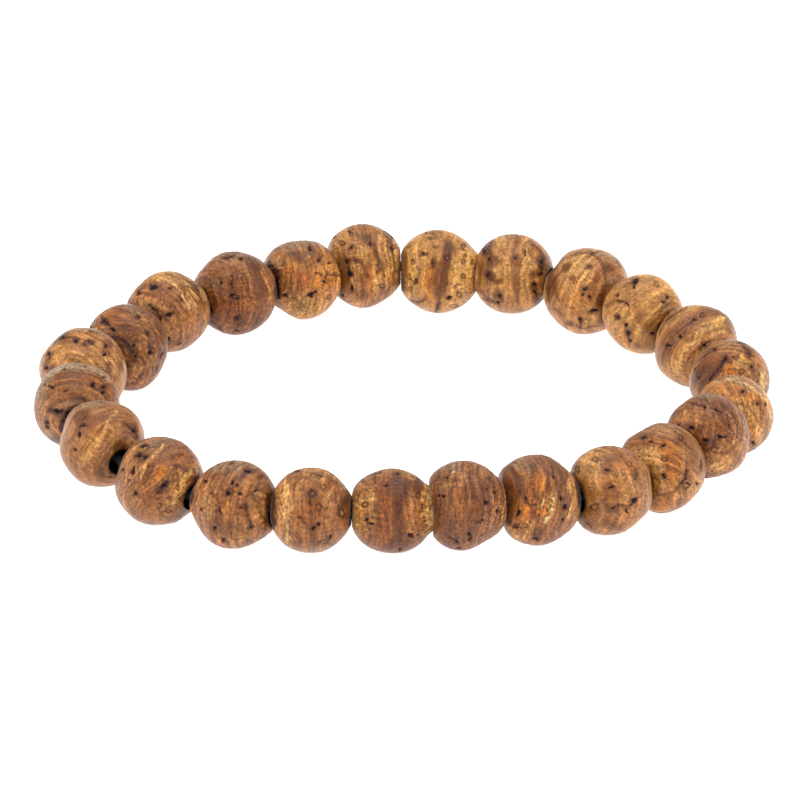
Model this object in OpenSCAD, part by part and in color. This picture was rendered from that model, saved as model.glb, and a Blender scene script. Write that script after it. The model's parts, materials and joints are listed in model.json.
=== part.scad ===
/* [Beads] */
// Diameter of a middling bead; the whole bracelet grows and shrinks with it
bead_d = 8.4; // [7:0.1:12]
// Diameter of the hole drilled through each bead
hole_d = 2.6; // [1.8:0.1:3.2]

/* [Elastic] */
// Diameter of the elastic cord
cord_d = 1; // [0.6:0.1:1.2]
// Sides of the elastic cord's tube
cord_sides = 8; // [6:1:12]

/* [Hidden] */
// The beads as they lie, in millimetres, counter-clockwise as seen from above.
// The first lies at the front, a little left of the middle.
// X, Y: place of the bead's middle. LIFT: height of its underside above the table.
// D: largest diameter. L: length of its rounded form, before the hole takes the tips off.
// TONE: which of the wood's colours it has.
X = 0;
Y = 1;
LIFT = 2;
D = 3;
L = 4;
TONE = 5;
BEADS = [
    [-8.8, -27.3, 0.7, 8.2, 7.4, 0],
    [-1.2, -26.7, 0.2, 8.2, 7.4, 1],
    [6, -26.8, 0.8, 8.6, 6.8, 2],
    [12.9, -24.9, 0.3, 8.8, 6.9, 2],
    [19.8, -22.7, 0.2, 8.6, 7, 0],
    [25, -17.7, 0, 8.7, 6.5, 1],
    [29.5, -12.3, 0.8, 8.4, 7, 2],
    [32.4, -5.7, 0, 7.9, 6.8, 1],
    [32.3, 1.7, 0, 8, 7.3, 1],
    [29.3, 9, 0, 8.3, 7.8, 0],
    [24.2, 15.2, 0.6, 8.1, 7.8, 0],
    [18.6, 21.1, 0, 8.8, 8.2, 0],
    [11.2, 24.7, 0.3, 8.3, 7.6, 0],
    [3.6, 25.9, 0, 8.6, 7.7, 0],
    [-4, 27, 0, 8.6, 7.1, 1],
    [-10.6, 23.8, 0.2, 8.3, 7, 1],
    [-17.3, 20.1, 0.3, 8.7, 7.9, 2],
    [-23.9, 15.5, 0.6, 8.3, 7.8, 0],
    [-27.8, 8.9, 0, 8.4, 7.4, 1],
    [-31.8, 2.2, 0.4, 8.7, 7.7, 0],
    [-32.2, -6, 0.8, 8.5, 8, 1],
    [-29.4, -14.2, 0.9, 8.5, 8.1, 0],
    [-23.5, -20.7, 0, 8.7, 8.2, 0],
    [-16.3, -25, 0, 8.4, 7.9, 1]
];
// The wood's colours: golden, brown and dark red-brown
TONES = [[0.79, 0.6, 0.36], [0.66, 0.44, 0.25], [0.5, 0.3, 0.19]];

// The table is written for a middling bead of this diameter
table_d = 8.4;
grow = bead_d / table_d;
count = len(BEADS);
hole_r = hole_d / 2;

// Round the string, the bead after the last is the first
function wrap(i) = (i + count) % count;
function bead_r(i) = grow * BEADS[wrap(i)][D] / 2;
function half_l(i) = grow * BEADS[wrap(i)][L] / 2;
function middle(i) = [
    grow * BEADS[wrap(i)][X],
    grow * BEADS[wrap(i)][Y],
    grow * BEADS[wrap(i)][LIFT] + bead_r(i)
];
function unit(v) = v / norm(v);

// A bead lies along the line between the middles of its two neighbours
function along(i) = unit(middle(i + 1) - middle(i - 1));
// Half the bead's length as it is at the rim of its hole
function rim_l(i) = sqrt(pow(half_l(i), 2) - pow(hole_r - bead_r(i) + half_l(i), 2));
// Halfway between the rim of one bead's hole and the rim of the next
function between(i) = (
    middle(i) + along(i) * rim_l(i) + middle(i + 1) - along(i + 1) * rim_l(i + 1)
) / 2;

// One barrel bead along Z: an arc as round as the bead is long, swept about the axis, and bored through
module barrel(r, half, bore) {
    rotate_extrude($fn = 64)
        intersection() {
            translate([r - half, 0])
                circle(r = half);
            translate([bore, -half])
                square([r - bore, 2 * half]);
        }
}

// Bead number i in its place on the string
module bead(i) {
    axis = along(i);
    color(TONES[BEADS[i][TONE]])
        translate(middle(i))
            rotate([0, acos(axis.z), atan2(axis.y, axis.x)])
                barrel(bead_r(i), half_l(i), hole_r);
}

// The cord runs straight along the middle of each hole and bends in the gaps
straight_share = 0.6;
cord_route = [
    for (i = [0 : count - 1])
        each [
            middle(i) - along(i) * rim_l(i) * straight_share,
            middle(i) + along(i) * rim_l(i) * straight_share,
            between(i)
        ]
];
rings = len(cord_route);

// One ring of points square to the cord at stop k of its route
function cord_ring(k) =
    let (
        ahead = unit(cord_route[(k + 1) % rings] - cord_route[(k + rings - 1) % rings]),
        side = unit(cross([0, 0, 1], ahead)),
        up = cross(ahead, side)
    )
    [
        for (s = [0 : cord_sides - 1])
            let (turn = 360 * s / cord_sides)
            cord_route[k] + cord_d / 2 * (cos(turn) * side + sin(turn) * up)
    ];

// The elastic, one loop without an end: its knot is drawn into a bead and doesn't show
module elastic_cord() {
    color([0.06, 0.05, 0.05])
        polyhedron(
            points = [for (k = [0 : rings - 1]) each cord_ring(k)],
            faces = [
                for (k = [0 : rings - 1])
                    for (s = [0 : cord_sides - 1])
                        let (
                            here = k * cord_sides,
                            next = ((k + 1) % rings) * cord_sides,
                            t = (s + 1) % cord_sides
                        )
                        [here + s, next + s, next + t, here + t]
            ]
        );
}

for (i = [0 : count - 1]) {
    bead(i);
}
elastic_cord();
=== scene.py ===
import json
from math import acos, cos, pi, radians, sin
import bmesh
import bpy
import numpy as np
from mathutils import Matrix, Vector


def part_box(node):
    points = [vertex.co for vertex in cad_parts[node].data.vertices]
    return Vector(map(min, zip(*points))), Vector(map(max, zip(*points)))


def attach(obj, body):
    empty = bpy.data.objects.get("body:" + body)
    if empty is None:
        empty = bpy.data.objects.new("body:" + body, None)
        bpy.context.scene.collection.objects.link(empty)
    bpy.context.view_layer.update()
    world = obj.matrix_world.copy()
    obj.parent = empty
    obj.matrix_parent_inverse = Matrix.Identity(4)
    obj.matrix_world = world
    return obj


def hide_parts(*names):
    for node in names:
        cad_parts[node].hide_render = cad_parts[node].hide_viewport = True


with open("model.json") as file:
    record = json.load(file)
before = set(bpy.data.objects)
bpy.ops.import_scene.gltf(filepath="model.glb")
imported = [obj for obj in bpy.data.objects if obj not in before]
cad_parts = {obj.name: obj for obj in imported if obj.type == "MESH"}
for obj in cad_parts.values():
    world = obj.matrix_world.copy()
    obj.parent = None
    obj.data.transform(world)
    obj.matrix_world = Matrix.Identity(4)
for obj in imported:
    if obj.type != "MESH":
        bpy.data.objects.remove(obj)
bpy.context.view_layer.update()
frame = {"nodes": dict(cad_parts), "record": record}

# The camera stands in front of the bracelet, 27 degrees above the table, and looks over it with a
# long lens from 65 cm. LENS is its focal length in pixels of the photograph, and PIXEL is what
# one of those covers at the bracelet, in metres.
PHOTO = 800
SENSOR = 36.0
CAMERA_AT = 0.65
LENS = 6500
CAMERA_TILT = radians(27)
AIM = Vector((-0.0004, 0.0052, 0))
PIXEL = CAMERA_AT / LENS
look = Vector((0, cos(CAMERA_TILT), -sin(CAMERA_TILT)))
above = Vector((0, sin(CAMERA_TILT), cos(CAMERA_TILT)))
eye_at = AIM - look * CAMERA_AT
camera_data = bpy.data.cameras.new("camera")
camera_data.sensor_width = SENSOR
camera_data.lens = SENSOR * CAMERA_AT / (PIXEL * PHOTO)
camera_data.clip_start = 0.01
camera_data.clip_end = 10
camera = bpy.data.objects.new("camera", camera_data)
camera.location = eye_at
camera.rotation_euler = (pi / 2 - CAMERA_TILT, 0, 0)
bpy.context.scene.collection.objects.link(camera)
bpy.context.scene.camera = camera

# The table is a plain white sheet that runs out of sight and is lit from below, so that it takes
# hardly any shadow. The light is a soft tent: a wide panel overhead, one each side, one in front,
# and a white world that fills in the rest.
FLOOR = 3.0
SHEET_GREY = (0.7, 0.7, 0.7, 1)
SHEET_GLOW = 0.85
PAPER_GRAIN = 900.0
WHITE = (1, 1, 1, 1)
bm = bmesh.new()
bmesh.ops.create_grid(bm, x_segments=1, y_segments=1, size=FLOOR)
floor_mesh = bpy.data.meshes.new("floor")
bm.to_mesh(floor_mesh)
bm.free()
floor = bpy.data.objects.new("floor", floor_mesh)
bpy.context.scene.collection.objects.link(floor)


class Wire:
    """An output socket of a material's nodes. Sums on it add Math nodes, and node() adds any other."""

    def __init__(self, tree, socket=None):
        self.tree = tree
        self.socket = socket

    def node(self, kind, settings=None, inputs=None, out=0):
        made = self.tree.nodes.new(kind)
        for name, value in (settings or {}).items():
            setattr(made, name, value)
        for name, value in (inputs or {}).items():
            if isinstance(value, Wire):
                self.tree.links.new(value.socket, made.inputs[name])
            else:
                made.inputs[name].default_value = value
        return Wire(self.tree, made.outputs[out])

    def maths(self, operation, first, second=0.0):
        return self.node("ShaderNodeMath", {"operation": operation}, {0: first, 1: second})

    def __add__(self, other):
        return self.maths("ADD", self, other)

    def __radd__(self, other):
        return self.maths("ADD", other, self)

    def __sub__(self, other):
        return self.maths("SUBTRACT", self, other)

    def __rsub__(self, other):
        return self.maths("SUBTRACT", other, self)

    def __mul__(self, other):
        return self.maths("MULTIPLY", self, other)

    def __rmul__(self, other):
        return self.maths("MULTIPLY", other, self)

    def ramp(self, low, high):
        """0 at low and 1 at high, with a soft slope between them."""
        return self.node(
            "ShaderNodeMapRange",
            {"interpolation_type": "SMOOTHSTEP"},
            {"Value": self, "From Min": low, "From Max": high},
        )

    def mix(self, factor, other, blend="MIX"):
        """This colour with another one mixed in."""
        return self.node(
            "ShaderNodeMix",
            {"data_type": "RGBA", "blend_type": blend},
            {0: factor, 6: self, 7: other},
            2,
        )

    def into(self, socket):
        self.tree.links.new(self.socket, socket)


def new_material(name):
    """A fresh material, its principled shader and a wire to start its nodes from."""
    material = bpy.data.materials.new(name)
    material.use_nodes = True
    shader = material.node_tree.nodes["Principled BSDF"]
    return material, shader, Wire(material.node_tree)


material, shader, wire = new_material("pale_sheet")
shader.inputs["Base Color"].default_value = SHEET_GREY
shader.inputs["Roughness"].default_value = 0.9
shader.inputs["Emission Color"].default_value = WHITE
shader.inputs["Emission Strength"].default_value = SHEET_GLOW
place = wire.node("ShaderNodeTexCoord", out=3)
paper = place.node("ShaderNodeTexNoise", inputs={"Vector": place, "Scale": PAPER_GRAIN, "Detail": 3.0})
paper.node(
    "ShaderNodeBump", inputs={"Height": paper, "Strength": 0.02, "Distance": 0.0005}
).into(shader.inputs["Normal"])
floor_mesh.materials.append(material)

# Each lamp is (place, width, power), in metres and watts, and faces the bracelet.
WORLD_LIGHT = 0.66
LIGHTS = {
    "overhead": ((0.0, 0.1, 0.7), 0.9, 5.2),
    "left": ((-0.7, -0.2, 0.35), 0.7, 2.9),
    "right": ((0.7, -0.2, 0.35), 0.7, 2.9),
    "front": ((0.0, -1.6, 0.7), 1.6, 12.0),
}
for name, (place, size, power) in LIGHTS.items():
    lamp = bpy.data.lights.new(name, "AREA")
    lamp.shape = "SQUARE"
    lamp.size = size
    lamp.energy = power
    light = bpy.data.objects.new(name, lamp)
    light.location = place
    light.rotation_euler = (AIM - Vector(place)).to_track_quat("-Z", "Y").to_euler()
    bpy.context.scene.collection.objects.link(light)
world = bpy.data.worlds.new("tent")
world.use_nodes = True
world.node_tree.nodes["Background"].inputs["Color"].default_value = WHITE
world.node_tree.nodes["Background"].inputs["Strength"].default_value = WORLD_LIGHT
bpy.context.scene.world = world
bpy.context.scene.view_settings.view_transform = "Standard"


# The string: where each bead lies, which way its hole points and how large it is, all read off
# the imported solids. A bead's hole points along the line between its two neighbours.
COUNT = 24
NAMES = [f"bead_{number:02d}" for number in range(1, COUNT + 1)]
middles = []
for name in NAMES:
    low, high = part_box(name)
    middles.append((low + high) / 2)
alongs = [
    (middles[(i + 1) % COUNT] - middles[i - 1]).normalized() for i in range(COUNT)
]


def measure(i):
    """A bead's largest radius, half its length and the radius of its hole."""
    mesh = frame["nodes"][NAMES[i]].data
    points = np.empty(len(mesh.vertices) * 3)
    mesh.vertices.foreach_get("co", points)
    points = points.reshape(-1, 3) - np.array(middles[i])
    reach = points @ np.array(alongs[i])
    out = np.linalg.norm(points - reach[:, None] * np.array(alongs[i]), axis=1)
    return out.max(), reach.max(), out.min()


sizes = [measure(i) for i in range(COUNT)]

# The elastic is a round cord of rubber threads in a tight black braid, one loop through all the
# holes. It is straight for CORD_STRAIGHT of each bead's length and bent in the gaps, and its knot
# is hidden in a bead.
CORD_R = 0.0005
CORD_SIDES = 16
CORD_STRAIGHT = 0.6
CORD_STEPS = 6
stops = []
for i in range(COUNT):
    j = (i + 1) % COUNT
    stops.append(middles[i] - alongs[i] * sizes[i][1] * CORD_STRAIGHT)
    stops.append(middles[i] + alongs[i] * sizes[i][1] * CORD_STRAIGHT)
    stops.append((middles[i] + alongs[i] * sizes[i][1] + middles[j] - alongs[j] * sizes[j][1]) / 2)
bm = bmesh.new()
uv_place = bm.loops.layers.uv.new("along")
rings = []
run = 0.0
for k, stop in enumerate(stops):
    ahead = stops[(k + 1) % len(stops)]
    for step in range(CORD_STEPS):
        before = stops[k - 1] if step == 0 else stop
        heading = (ahead - before).normalized()
        side = Vector((0, 0, 1)).cross(heading).normalized()
        turned = Matrix((side, heading.cross(side), heading)).transposed().to_4x4()
        place = Matrix.Translation(stop.lerp(ahead, step / CORD_STEPS)) @ turned
        ring = bmesh.ops.create_circle(bm, radius=CORD_R, segments=CORD_SIDES, matrix=place)
        rings.append((ring["verts"], run))
        run += (ahead - stop).length / CORD_STEPS
for k, (ring, start) in enumerate(rings):
    after, end = rings[(k + 1) % len(rings)]
    if k + 1 == len(rings):
        end = run
    for s in range(CORD_SIDES):
        t = (s + 1) % CORD_SIDES
        face = bm.faces.new((ring[s], ring[t], after[t], after[s]))
        face.smooth = True
        corners = ((s, start), (s + 1, start), (s + 1, end), (s, end))
        for loop, (turn, length) in zip(face.loops, corners):
            loop[uv_place].uv = (turn / CORD_SIDES, length / (2 * pi * CORD_R))
bmesh.ops.recalc_face_normals(bm, faces=bm.faces)
cord_mesh = bpy.data.meshes.new("elastic")
bm.to_mesh(cord_mesh)
bm.free()
elastic = bpy.data.objects.new("elastic", cord_mesh)
bpy.context.scene.collection.objects.link(elastic)

# The braid's threads cross at a slant: two waves over the cord's own map, one to each side, and
# whichever lies higher shows. The grooves between them are matt and painted darker, as shade.
# BRAID_TURNS threads lie round the cord each way, and BRAID_PITCH of them pass in a length equal
# to its girth.
BRAID_TURNS = 6
BRAID_PITCH = 5
BRAID_DEPTH = 0.00004
GROOVE_EDGE = (-0.4, 0.6)
THREAD = (0.009, 0.008, 0.008, 1)
GROOVE_SHADE = (0.002, 0.002, 0.002, 1)
material, shader, wire = new_material("black_elastic")
uv = wire.node("ShaderNodeUVMap", {"uv_map": "along"})
turn = uv.node("ShaderNodeSeparateXYZ", inputs={0: uv})
length = uv.node("ShaderNodeSeparateXYZ", inputs={0: uv}, out=1)
threads = []
for way in (1, -1):
    phase = (turn * (way * BRAID_TURNS) + length * BRAID_PITCH) * (2 * pi)
    threads.append(phase.maths("SINE", phase))
height = wire.maths("MAXIMUM", threads[0], threads[1])
groove = 1 - height.ramp(*GROOVE_EDGE)
yarn = wire.node("ShaderNodeRGB")
yarn.socket.default_value = THREAD
# Painted shade: the grooves between the threads are coloured darker.
yarn.mix(groove, GROOVE_SHADE).into(shader.inputs["Base Color"])
(groove * 0.2 + 0.6).into(shader.inputs["Roughness"])
height.node(
    "ShaderNodeBump", inputs={"Height": height, "Strength": 0.7, "Distance": BRAID_DEPTH}
).into(shader.inputs["Normal"])
cord_mesh.materials.append(material)
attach(elastic, "root")
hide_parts("elastic_cord")


# The beads' wood is a knotty burl, sanded round and oiled by hands. These are the colours that
# show in it, light to dark, as they look on the finished beads. A bead's chart names them. The grey
# and the cream tone also serve as painted sheen and painted highlight along rims and ends.
TONES = {
    "cream_and_highlight": (228, 192, 136),
    "straw": (212, 160, 96),
    "gold": (198, 143, 82),
    "honey": (184, 128, 77),
    "tan": (168, 114, 70),
    "fawn": (154, 102, 65),
    "orange": (192, 114, 50),
    "chestnut": (138, 88, 56),
    "russet": (138, 78, 43),
    "plum": (120, 76, 55),
    "grey_and_sheen": (152, 124, 100),
    "umber": (104, 65, 41),
    "walnut": (82, 50, 31),
    "char": (44, 27, 18),
}

# The lamps brighten a tone by EXPOSURE and the polish lays SHEEN over it, so both are taken off
# again to find the wood's own colour, which is never below DARKEST.
EXPOSURE = 1.5
SHEEN = 0.028
DARKEST = 0.0015


def own_colour(tones):
    """The linear colour of the wood that looks like these tones under the lamps."""
    linear = np.where(tones > 10.3, ((tones / 255 + 0.055) / 1.055) ** 2.4, tones / 255 / 12.92)
    return np.maximum(linear - SHEEN, DARKEST) / EXPOSURE


# Three finishes of the same wood. The figure and how deep it is sunk are painted on a bead's
# points, and the material adds what is finer than those: fibres, grit, pores and the polish. FIBRE,
# GRIT and PORES are their sizes in metres, and the pairs are where in their noise each tone begins.
slots = {part["node"]: part["material_slot"] for part in frame["record"]["subparts"]}
FIBRE = 0.00016
GRIT = 0.00016
PORES = 0.0005
FIBRE_DARK = (0.3, 0.5)
FIBRE_PALE = (0.52, 0.72)
GRIT_DARK = (0.3, 0.45)
GRIT_PALE = (0.56, 0.7)
GRIT_SHARE = 0.8
PORE_EDGE = (0.12, 0.28)
DARKER = (0.47, 0.36, 0.29, 1)
PALER = (1.48, 1.58, 1.5, 1)
POLISH = 0.15
RELIEF = 0.00003


def burl(name, fibres, pores, matt):
    """Polished burl: how strongly its fibres and pores show and how rough it is."""
    material, shader, wire = new_material(name)
    colour = wire.node("ShaderNodeAttribute", {"attribute_name": "figure"})
    lie = wire.node("ShaderNodeAttribute", {"attribute_name": "lie"}, out=1)
    sunk = wire.node("ShaderNodeAttribute", {"attribute_name": "sunk"}, out=2)
    place = wire.node("ShaderNodeTexCoord", out=3)
    stretched = wire.node(
        "ShaderNodeMapping", inputs={"Vector": lie, "Scale": (1 / FIBRE, 0.1 / FIBRE, 0.1 / FIBRE)}
    )
    fibre = wire.node("ShaderNodeTexNoise", inputs={"Vector": stretched, "Scale": 1.0, "Detail": 3.0})
    grit = wire.node("ShaderNodeTexNoise", inputs={"Vector": place, "Scale": 1 / GRIT, "Detail": 2.0})
    cells = wire.node(
        "ShaderNodeTexVoronoi", {"feature": "F1"}, {"Vector": place, "Scale": 1 / PORES, "Randomness": 1.0}
    )
    pore = 1 - cells.ramp(*PORE_EDGE)
    dark = colour.mix(1.0, DARKER, "MULTIPLY")
    pale = colour.mix(1.0, PALER, "MULTIPLY")
    figured = colour.mix((1 - fibre.ramp(*FIBRE_DARK)) * fibres, dark)
    figured = figured.mix(fibre.ramp(*FIBRE_PALE) * fibres, pale)
    figured = figured.mix((1 - grit.ramp(*GRIT_DARK)) * (fibres * GRIT_SHARE), dark)
    figured = figured.mix(grit.ramp(*GRIT_PALE) * (fibres * GRIT_SHARE), pale)
    figured = figured.mix(pore * pores, dark)
    figured.into(shader.inputs["Base Color"])
    (fibre * 0.15 + grit * 0.1 + sunk * 0.4 + matt).into(shader.inputs["Roughness"])
    height = fibre * 0.5 + grit * 0.4 - pore * (pores * 0.6)
    wire.node(
        "ShaderNodeBump", inputs={"Height": height, "Strength": 0.5, "Distance": RELIEF}
    ).into(shader.inputs["Normal"])
    (POLISH - sunk * POLISH).into(shader.inputs["Coat Weight"])
    shader.inputs["Specular IOR Level"].default_value = 0.2
    shader.inputs["Sheen Weight"].default_value = 0.08
    shader.inputs["Sheen Roughness"].default_value = 0.4
    shader.inputs["Coat Roughness"].default_value = 0.25
    return material


woods = {
    "wood_golden": burl("golden_burl", 0.68, 0.5, 0.3),
    "wood_brown": burl("brown_burl", 0.9, 0.7, 0.34),
    "wood_dark": burl("dark_burl", 1.0, 0.8, 0.38),
}

# Each bead is one piece of a knotty burl, turned to a barrel, drilled, sanded and worn smooth. It
# is turned here as an arc from rim to rim and the wall of the hole, with its points crowded
# towards the camera's side, where the chart has the most detail.
AROUND = 176
ALONG = 98
IN_HOLE = 4
CROWDED = 0.4

# A point belongs to the front, where the chart holds, as it faces the camera more than FRONT_FROM,
# and to the outside of the bead as it stands further out than the hole's wall by OUTSIDE_FROM.
FRONT_FROM = (-0.05, 0.2)
OUTSIDE_FROM = (0.00001, 0.00015)


def soft(value, low, high):
    """0 at low and 1 at high, with a soft slope between them."""
    share = np.clip((value - low) / (high - low), 0, 1)
    return share * share * (3 - 2 * share)


def turn_barrel(radius, half, hole):
    """The smooth barrel about Z."""
    rise = radius - hole
    bend = (half ** 2 + rise ** 2) / (2 * rise)
    sweep = acos((bend - rise) / bend)
    bm = bmesh.new()
    start = bm.verts.new((hole, 0, -half))
    arc = bmesh.ops.spin(
        bm, geom=[start], cent=(radius - bend, 0, 0), axis=(0, -1, 0), angle=2 * sweep, steps=ALONG
    )
    end = [part for part in arc["geom_last"] if isinstance(part, bmesh.types.BMVert)][0]
    wall = bm.edges.new((end, start))
    bmesh.ops.subdivide_edges(bm, edges=[wall], cuts=IN_HOLE)
    bmesh.ops.spin(
        bm, geom=bm.verts[:] + bm.edges[:], axis=(0, 0, 1), angle=2 * pi, steps=AROUND, use_merge=True
    )
    bmesh.ops.recalc_face_normals(bm, faces=bm.faces)
    for face in bm.faces:
        face.smooth = True
    return bm


def read(places, name):
    """The vectors of a mesh's points or normals as rows."""
    rows = np.empty(len(places) * 3)
    places.foreach_get(name, rows)
    return rows.reshape(-1, 3)


class Barrel:
    """A bead's smooth barrel on its place in the string. Its points and what they say are rows."""

    def __init__(self, number):
        self.number = number
        self.i = number - 1
        radius, half, self.hole = sizes[self.i]
        bm = turn_barrel(radius, half, self.hole)
        self.mesh = bpy.data.meshes.new(f"wooden_{NAMES[self.i]}")
        bm.to_mesh(self.mesh)
        bm.free()
        self.middle = np.array(middles[self.i])
        self.along = alongs[self.i]
        self.front = (-look + self.along * look.dot(self.along)).normalized()
        flat = read(self.mesh.vertices, "co")
        bent = read(self.mesh.vertex_normals, "vector")
        turn = np.arctan2(flat[:, 1], flat[:, 0])
        leans_out = bent[:, 0] * np.cos(turn) + bent[:, 1] * np.sin(turn)
        turn -= CROWDED * np.sin(turn)
        spoke = np.stack((np.cos(turn), np.sin(turn)), 1)
        axes = np.array((self.front, self.along.cross(self.front), self.along))
        self.out = np.hypot(flat[:, 0], flat[:, 1])
        self.to_end = flat[:, 2] / half
        self.points = np.column_stack((spoke * self.out[:, None], flat[:, 2])) @ axes + self.middle
        self.outward = np.column_stack((spoke * leans_out[:, None], bent[:, 2])) @ axes
        self.facing = self.outward @ -np.array(look)
        self.in_front = soft(self.facing, *FRONT_FROM)
        rim, skin = OUTSIDE_FROM
        self.outside = soft(self.out, self.hole + rim, self.hole + skin)


def waves(points, size, seed, count=26):
    """Smooth noise about 0, in lumps of roughly this size, from waves that run every way."""
    chance = np.random.default_rng(seed)
    ways = chance.normal(size=(count, points.shape[1]))
    ways *= (2 * pi / size * chance.uniform(0.35, 1, count) / np.linalg.norm(ways, axis=1))[:, None]
    shifts = chance.uniform(0, 2 * pi, count)
    return np.sin(points @ ways.T + shifts).sum(axis=1) * np.sqrt(2 / count)


def in_photo(points):
    """Where points fall in the photograph, in its pixels, across and down."""
    away = points - np.array(eye_at)
    scale = CAMERA_AT / PIXEL / (away @ np.array(look))
    return np.stack((PHOTO / 2 + away[:, 0] * scale, PHOTO / 2 - away @ np.array(above) * scale), 1)


# A pair of beads meets halfway between their ends, but at three places one reaches over the other
# near the hole, by OVER, which fades past OVER_OUT from the line of holes. A pair is named by its
# first bead, and below 0 the second one reaches over. All of these are metres.
OVER = {2: 0.0004, 13: -0.0002, 24: 0.0002}
OVER_OUT = 0.0028
OVER_FADE = 0.0012


def room_left(places, i, side):
    """How far places are from the surface on which a bead meets the next (side 1) or the last (-1)."""
    other = (i + side) % COUNT
    pair = i + 1 if side == 1 else other + 1
    tip = middles[i] + alongs[i] * (side * sizes[i][1])
    halfway = (tip + middles[other] - alongs[other] * (side * sizes[other][1])) / 2
    across_gap = (alongs[i] + alongs[other]).normalized() * side
    away = places - np.array(halfway)
    along_gap = away @ np.array(across_gap)
    beside = np.linalg.norm(away - along_gap[:, None] * np.array(across_gap), axis=1)
    over = side * OVER.get(pair, 0) * soft(OVER_OUT - beside, 0, OVER_FADE)
    return over - along_gap, over


# Hands have rubbed each bead uneven by WORN, in lumps of WORN_LUMPS. Neighbours touch in the
# photograph, so past ENDS_FROM of the way to an end the bead is drawn out, MEET of the way to the
# surface on which the pair meets and at most REACH. What stood past it goes back by BACK.
WORN = 0.00005
WORN_LUMPS = 0.004
WORN_SEED = 800
ENDS_FROM = 0.3
MEET = 0.9
REACH = 0.00025
BACK = 1.1


def wear(barrel, dents):
    """The barrel's points, worn, dented and drawn out at its ends."""
    middle_share = barrel.outside * (1 - barrel.to_end ** 4)
    worn = WORN * waves(barrel.points, WORN_LUMPS, barrel.number + WORN_SEED) * middle_share
    for deep, x, y, reach in dents:
        off = np.hypot(*(in_photo(barrel.points) - (x, y)).T)
        worn -= deep * barrel.outside * soft(1 - off / reach, 0, 1)
    shaped = barrel.points + worn[:, None] * barrel.outward
    for side in (1, -1):
        room, over = room_left(shaped, barrel.i, side)
        furthest = np.minimum(room * MEET, REACH + np.maximum(over, 0))
        drawn_out = furthest * soft(side * barrel.to_end, ENDS_FROM, 1)
        drawn_out = np.where(room > 0, drawn_out, room * BACK)
        shaped += side * drawn_out[:, None] * np.array(barrel.along)
    return shaped


# The figure of the wood: layers that bend, as (depth, lump, seed), finer streaks that follow them,
# each STREAK of a layer thick, and spots of four sizes, as (lump, seed). Lumps are in metres, and
# every bead adds its number to a seed. Layers and streaks are thin one way and long the others.
BENDS = ((0.0002, 0.006, 0), (0.00004, 0.0018, 100))
LAYER_THIN = (1, 0.12, 0.12)
LAYER_SEED = 200
STREAK = 0.3
STREAK_THIN = (1, 0.1, 0.1)
STREAK_SEED = 300
MOTTLE = (0.0012, 400)
SPECKLE = (0.0004, 500)
DUST = (0.00022, 900)
BLOTS = (0.0019, 1000)
RAGGED_SHARES = (0.3, 0.45, 0.5)


class Figure:
    """What grows in a bead's wood, at the barrel's points, from its layers' lean and thickness."""

    def __init__(self, barrel, lean, layer):
        points = barrel.points
        number = barrel.number
        upright = np.array(barrel.along.cross(barrel.front)) * sin(radians(lean))
        across = np.array(barrel.along) * cos(radians(lean)) + upright
        bent = sum(deep * waves(points, lump, number + seed) for deep, lump, seed in BENDS)
        depth = (points - barrel.middle) @ across + bent
        rest = points - barrel.middle - depth[:, None] * across
        self.lie = np.column_stack((depth, rest @ np.array(barrel.front), rest @ np.array(above)))
        self.layers = waves(self.lie * LAYER_THIN, layer, number + LAYER_SEED)
        self.streaks = waves(self.lie * STREAK_THIN, layer * STREAK, number + STREAK_SEED)
        self.mottle, self.speckle, self.dust, spots = (
            waves(points, lump, number + seed) for lump, seed in (MOTTLE, SPECKLE, DUST, BLOTS)
        )
        self.blots = spots + 0.5 * self.speckle
        by_mottle, by_speckle, by_dust = RAGGED_SHARES
        self.ragged = by_mottle * self.mottle + by_speckle * self.speckle + by_dust * self.dust


def stain(colour, tone, share):
    """Brings colours towards a tone, each by its share."""
    colour += np.clip(share, 0, 1)[:, None] * (np.array(TONES[tone], float) - colour)


def oval(seen, x, y, across, up, turn=0.0):
    """How far out each point lies in an oval: 0 at its middle and 1 on its outline."""
    away = seen - (x, y)
    c, s = cos(radians(turn)), sin(radians(turn))
    return np.hypot((away[:, 0] * c + away[:, 1] * s) / across, (away[:, 1] * c - away[:, 0] * s) / up)


def from_line(seen, stops):
    """How far each point lies from a line through these places."""
    nearest = np.full(len(seen), np.inf)
    for start, end in zip(stops, stops[1:]):
        run = np.subtract(end, start)
        share = np.clip((seen - start) @ run / (run @ run), 0, 1)
        nearest = np.minimum(nearest, np.linalg.norm(seen - start - share[:, None] * run, axis=1))
    return nearest


# How strongly the figure shows: its layers, streaks and mottle, then how much streaks, speckle and
# dust brighten or darken what is charted. A stain or band reaches this far, is torn this much at
# its edge and fades over this width, in shares of an oval or of a band's width.
FIGURE_SHARES = (0.35, 0.6, 0.3)
FIGURE_FULL = 1.4
BLOTS_FROM = (1.0, 2.4)
LIFTS = (0.07, 0.05, 0.08)
STAIN_EDGE = (1.4, 0.24, 0.8)
BAND_EDGE = (0.85, 0.18, 0.6)


def edged(far, edge, ragged):
    """1 inside a charted mark and 0 outside it."""
    reach, torn, fade = edge
    return soft(reach - far + torn * ragged, 0, fade)


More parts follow.
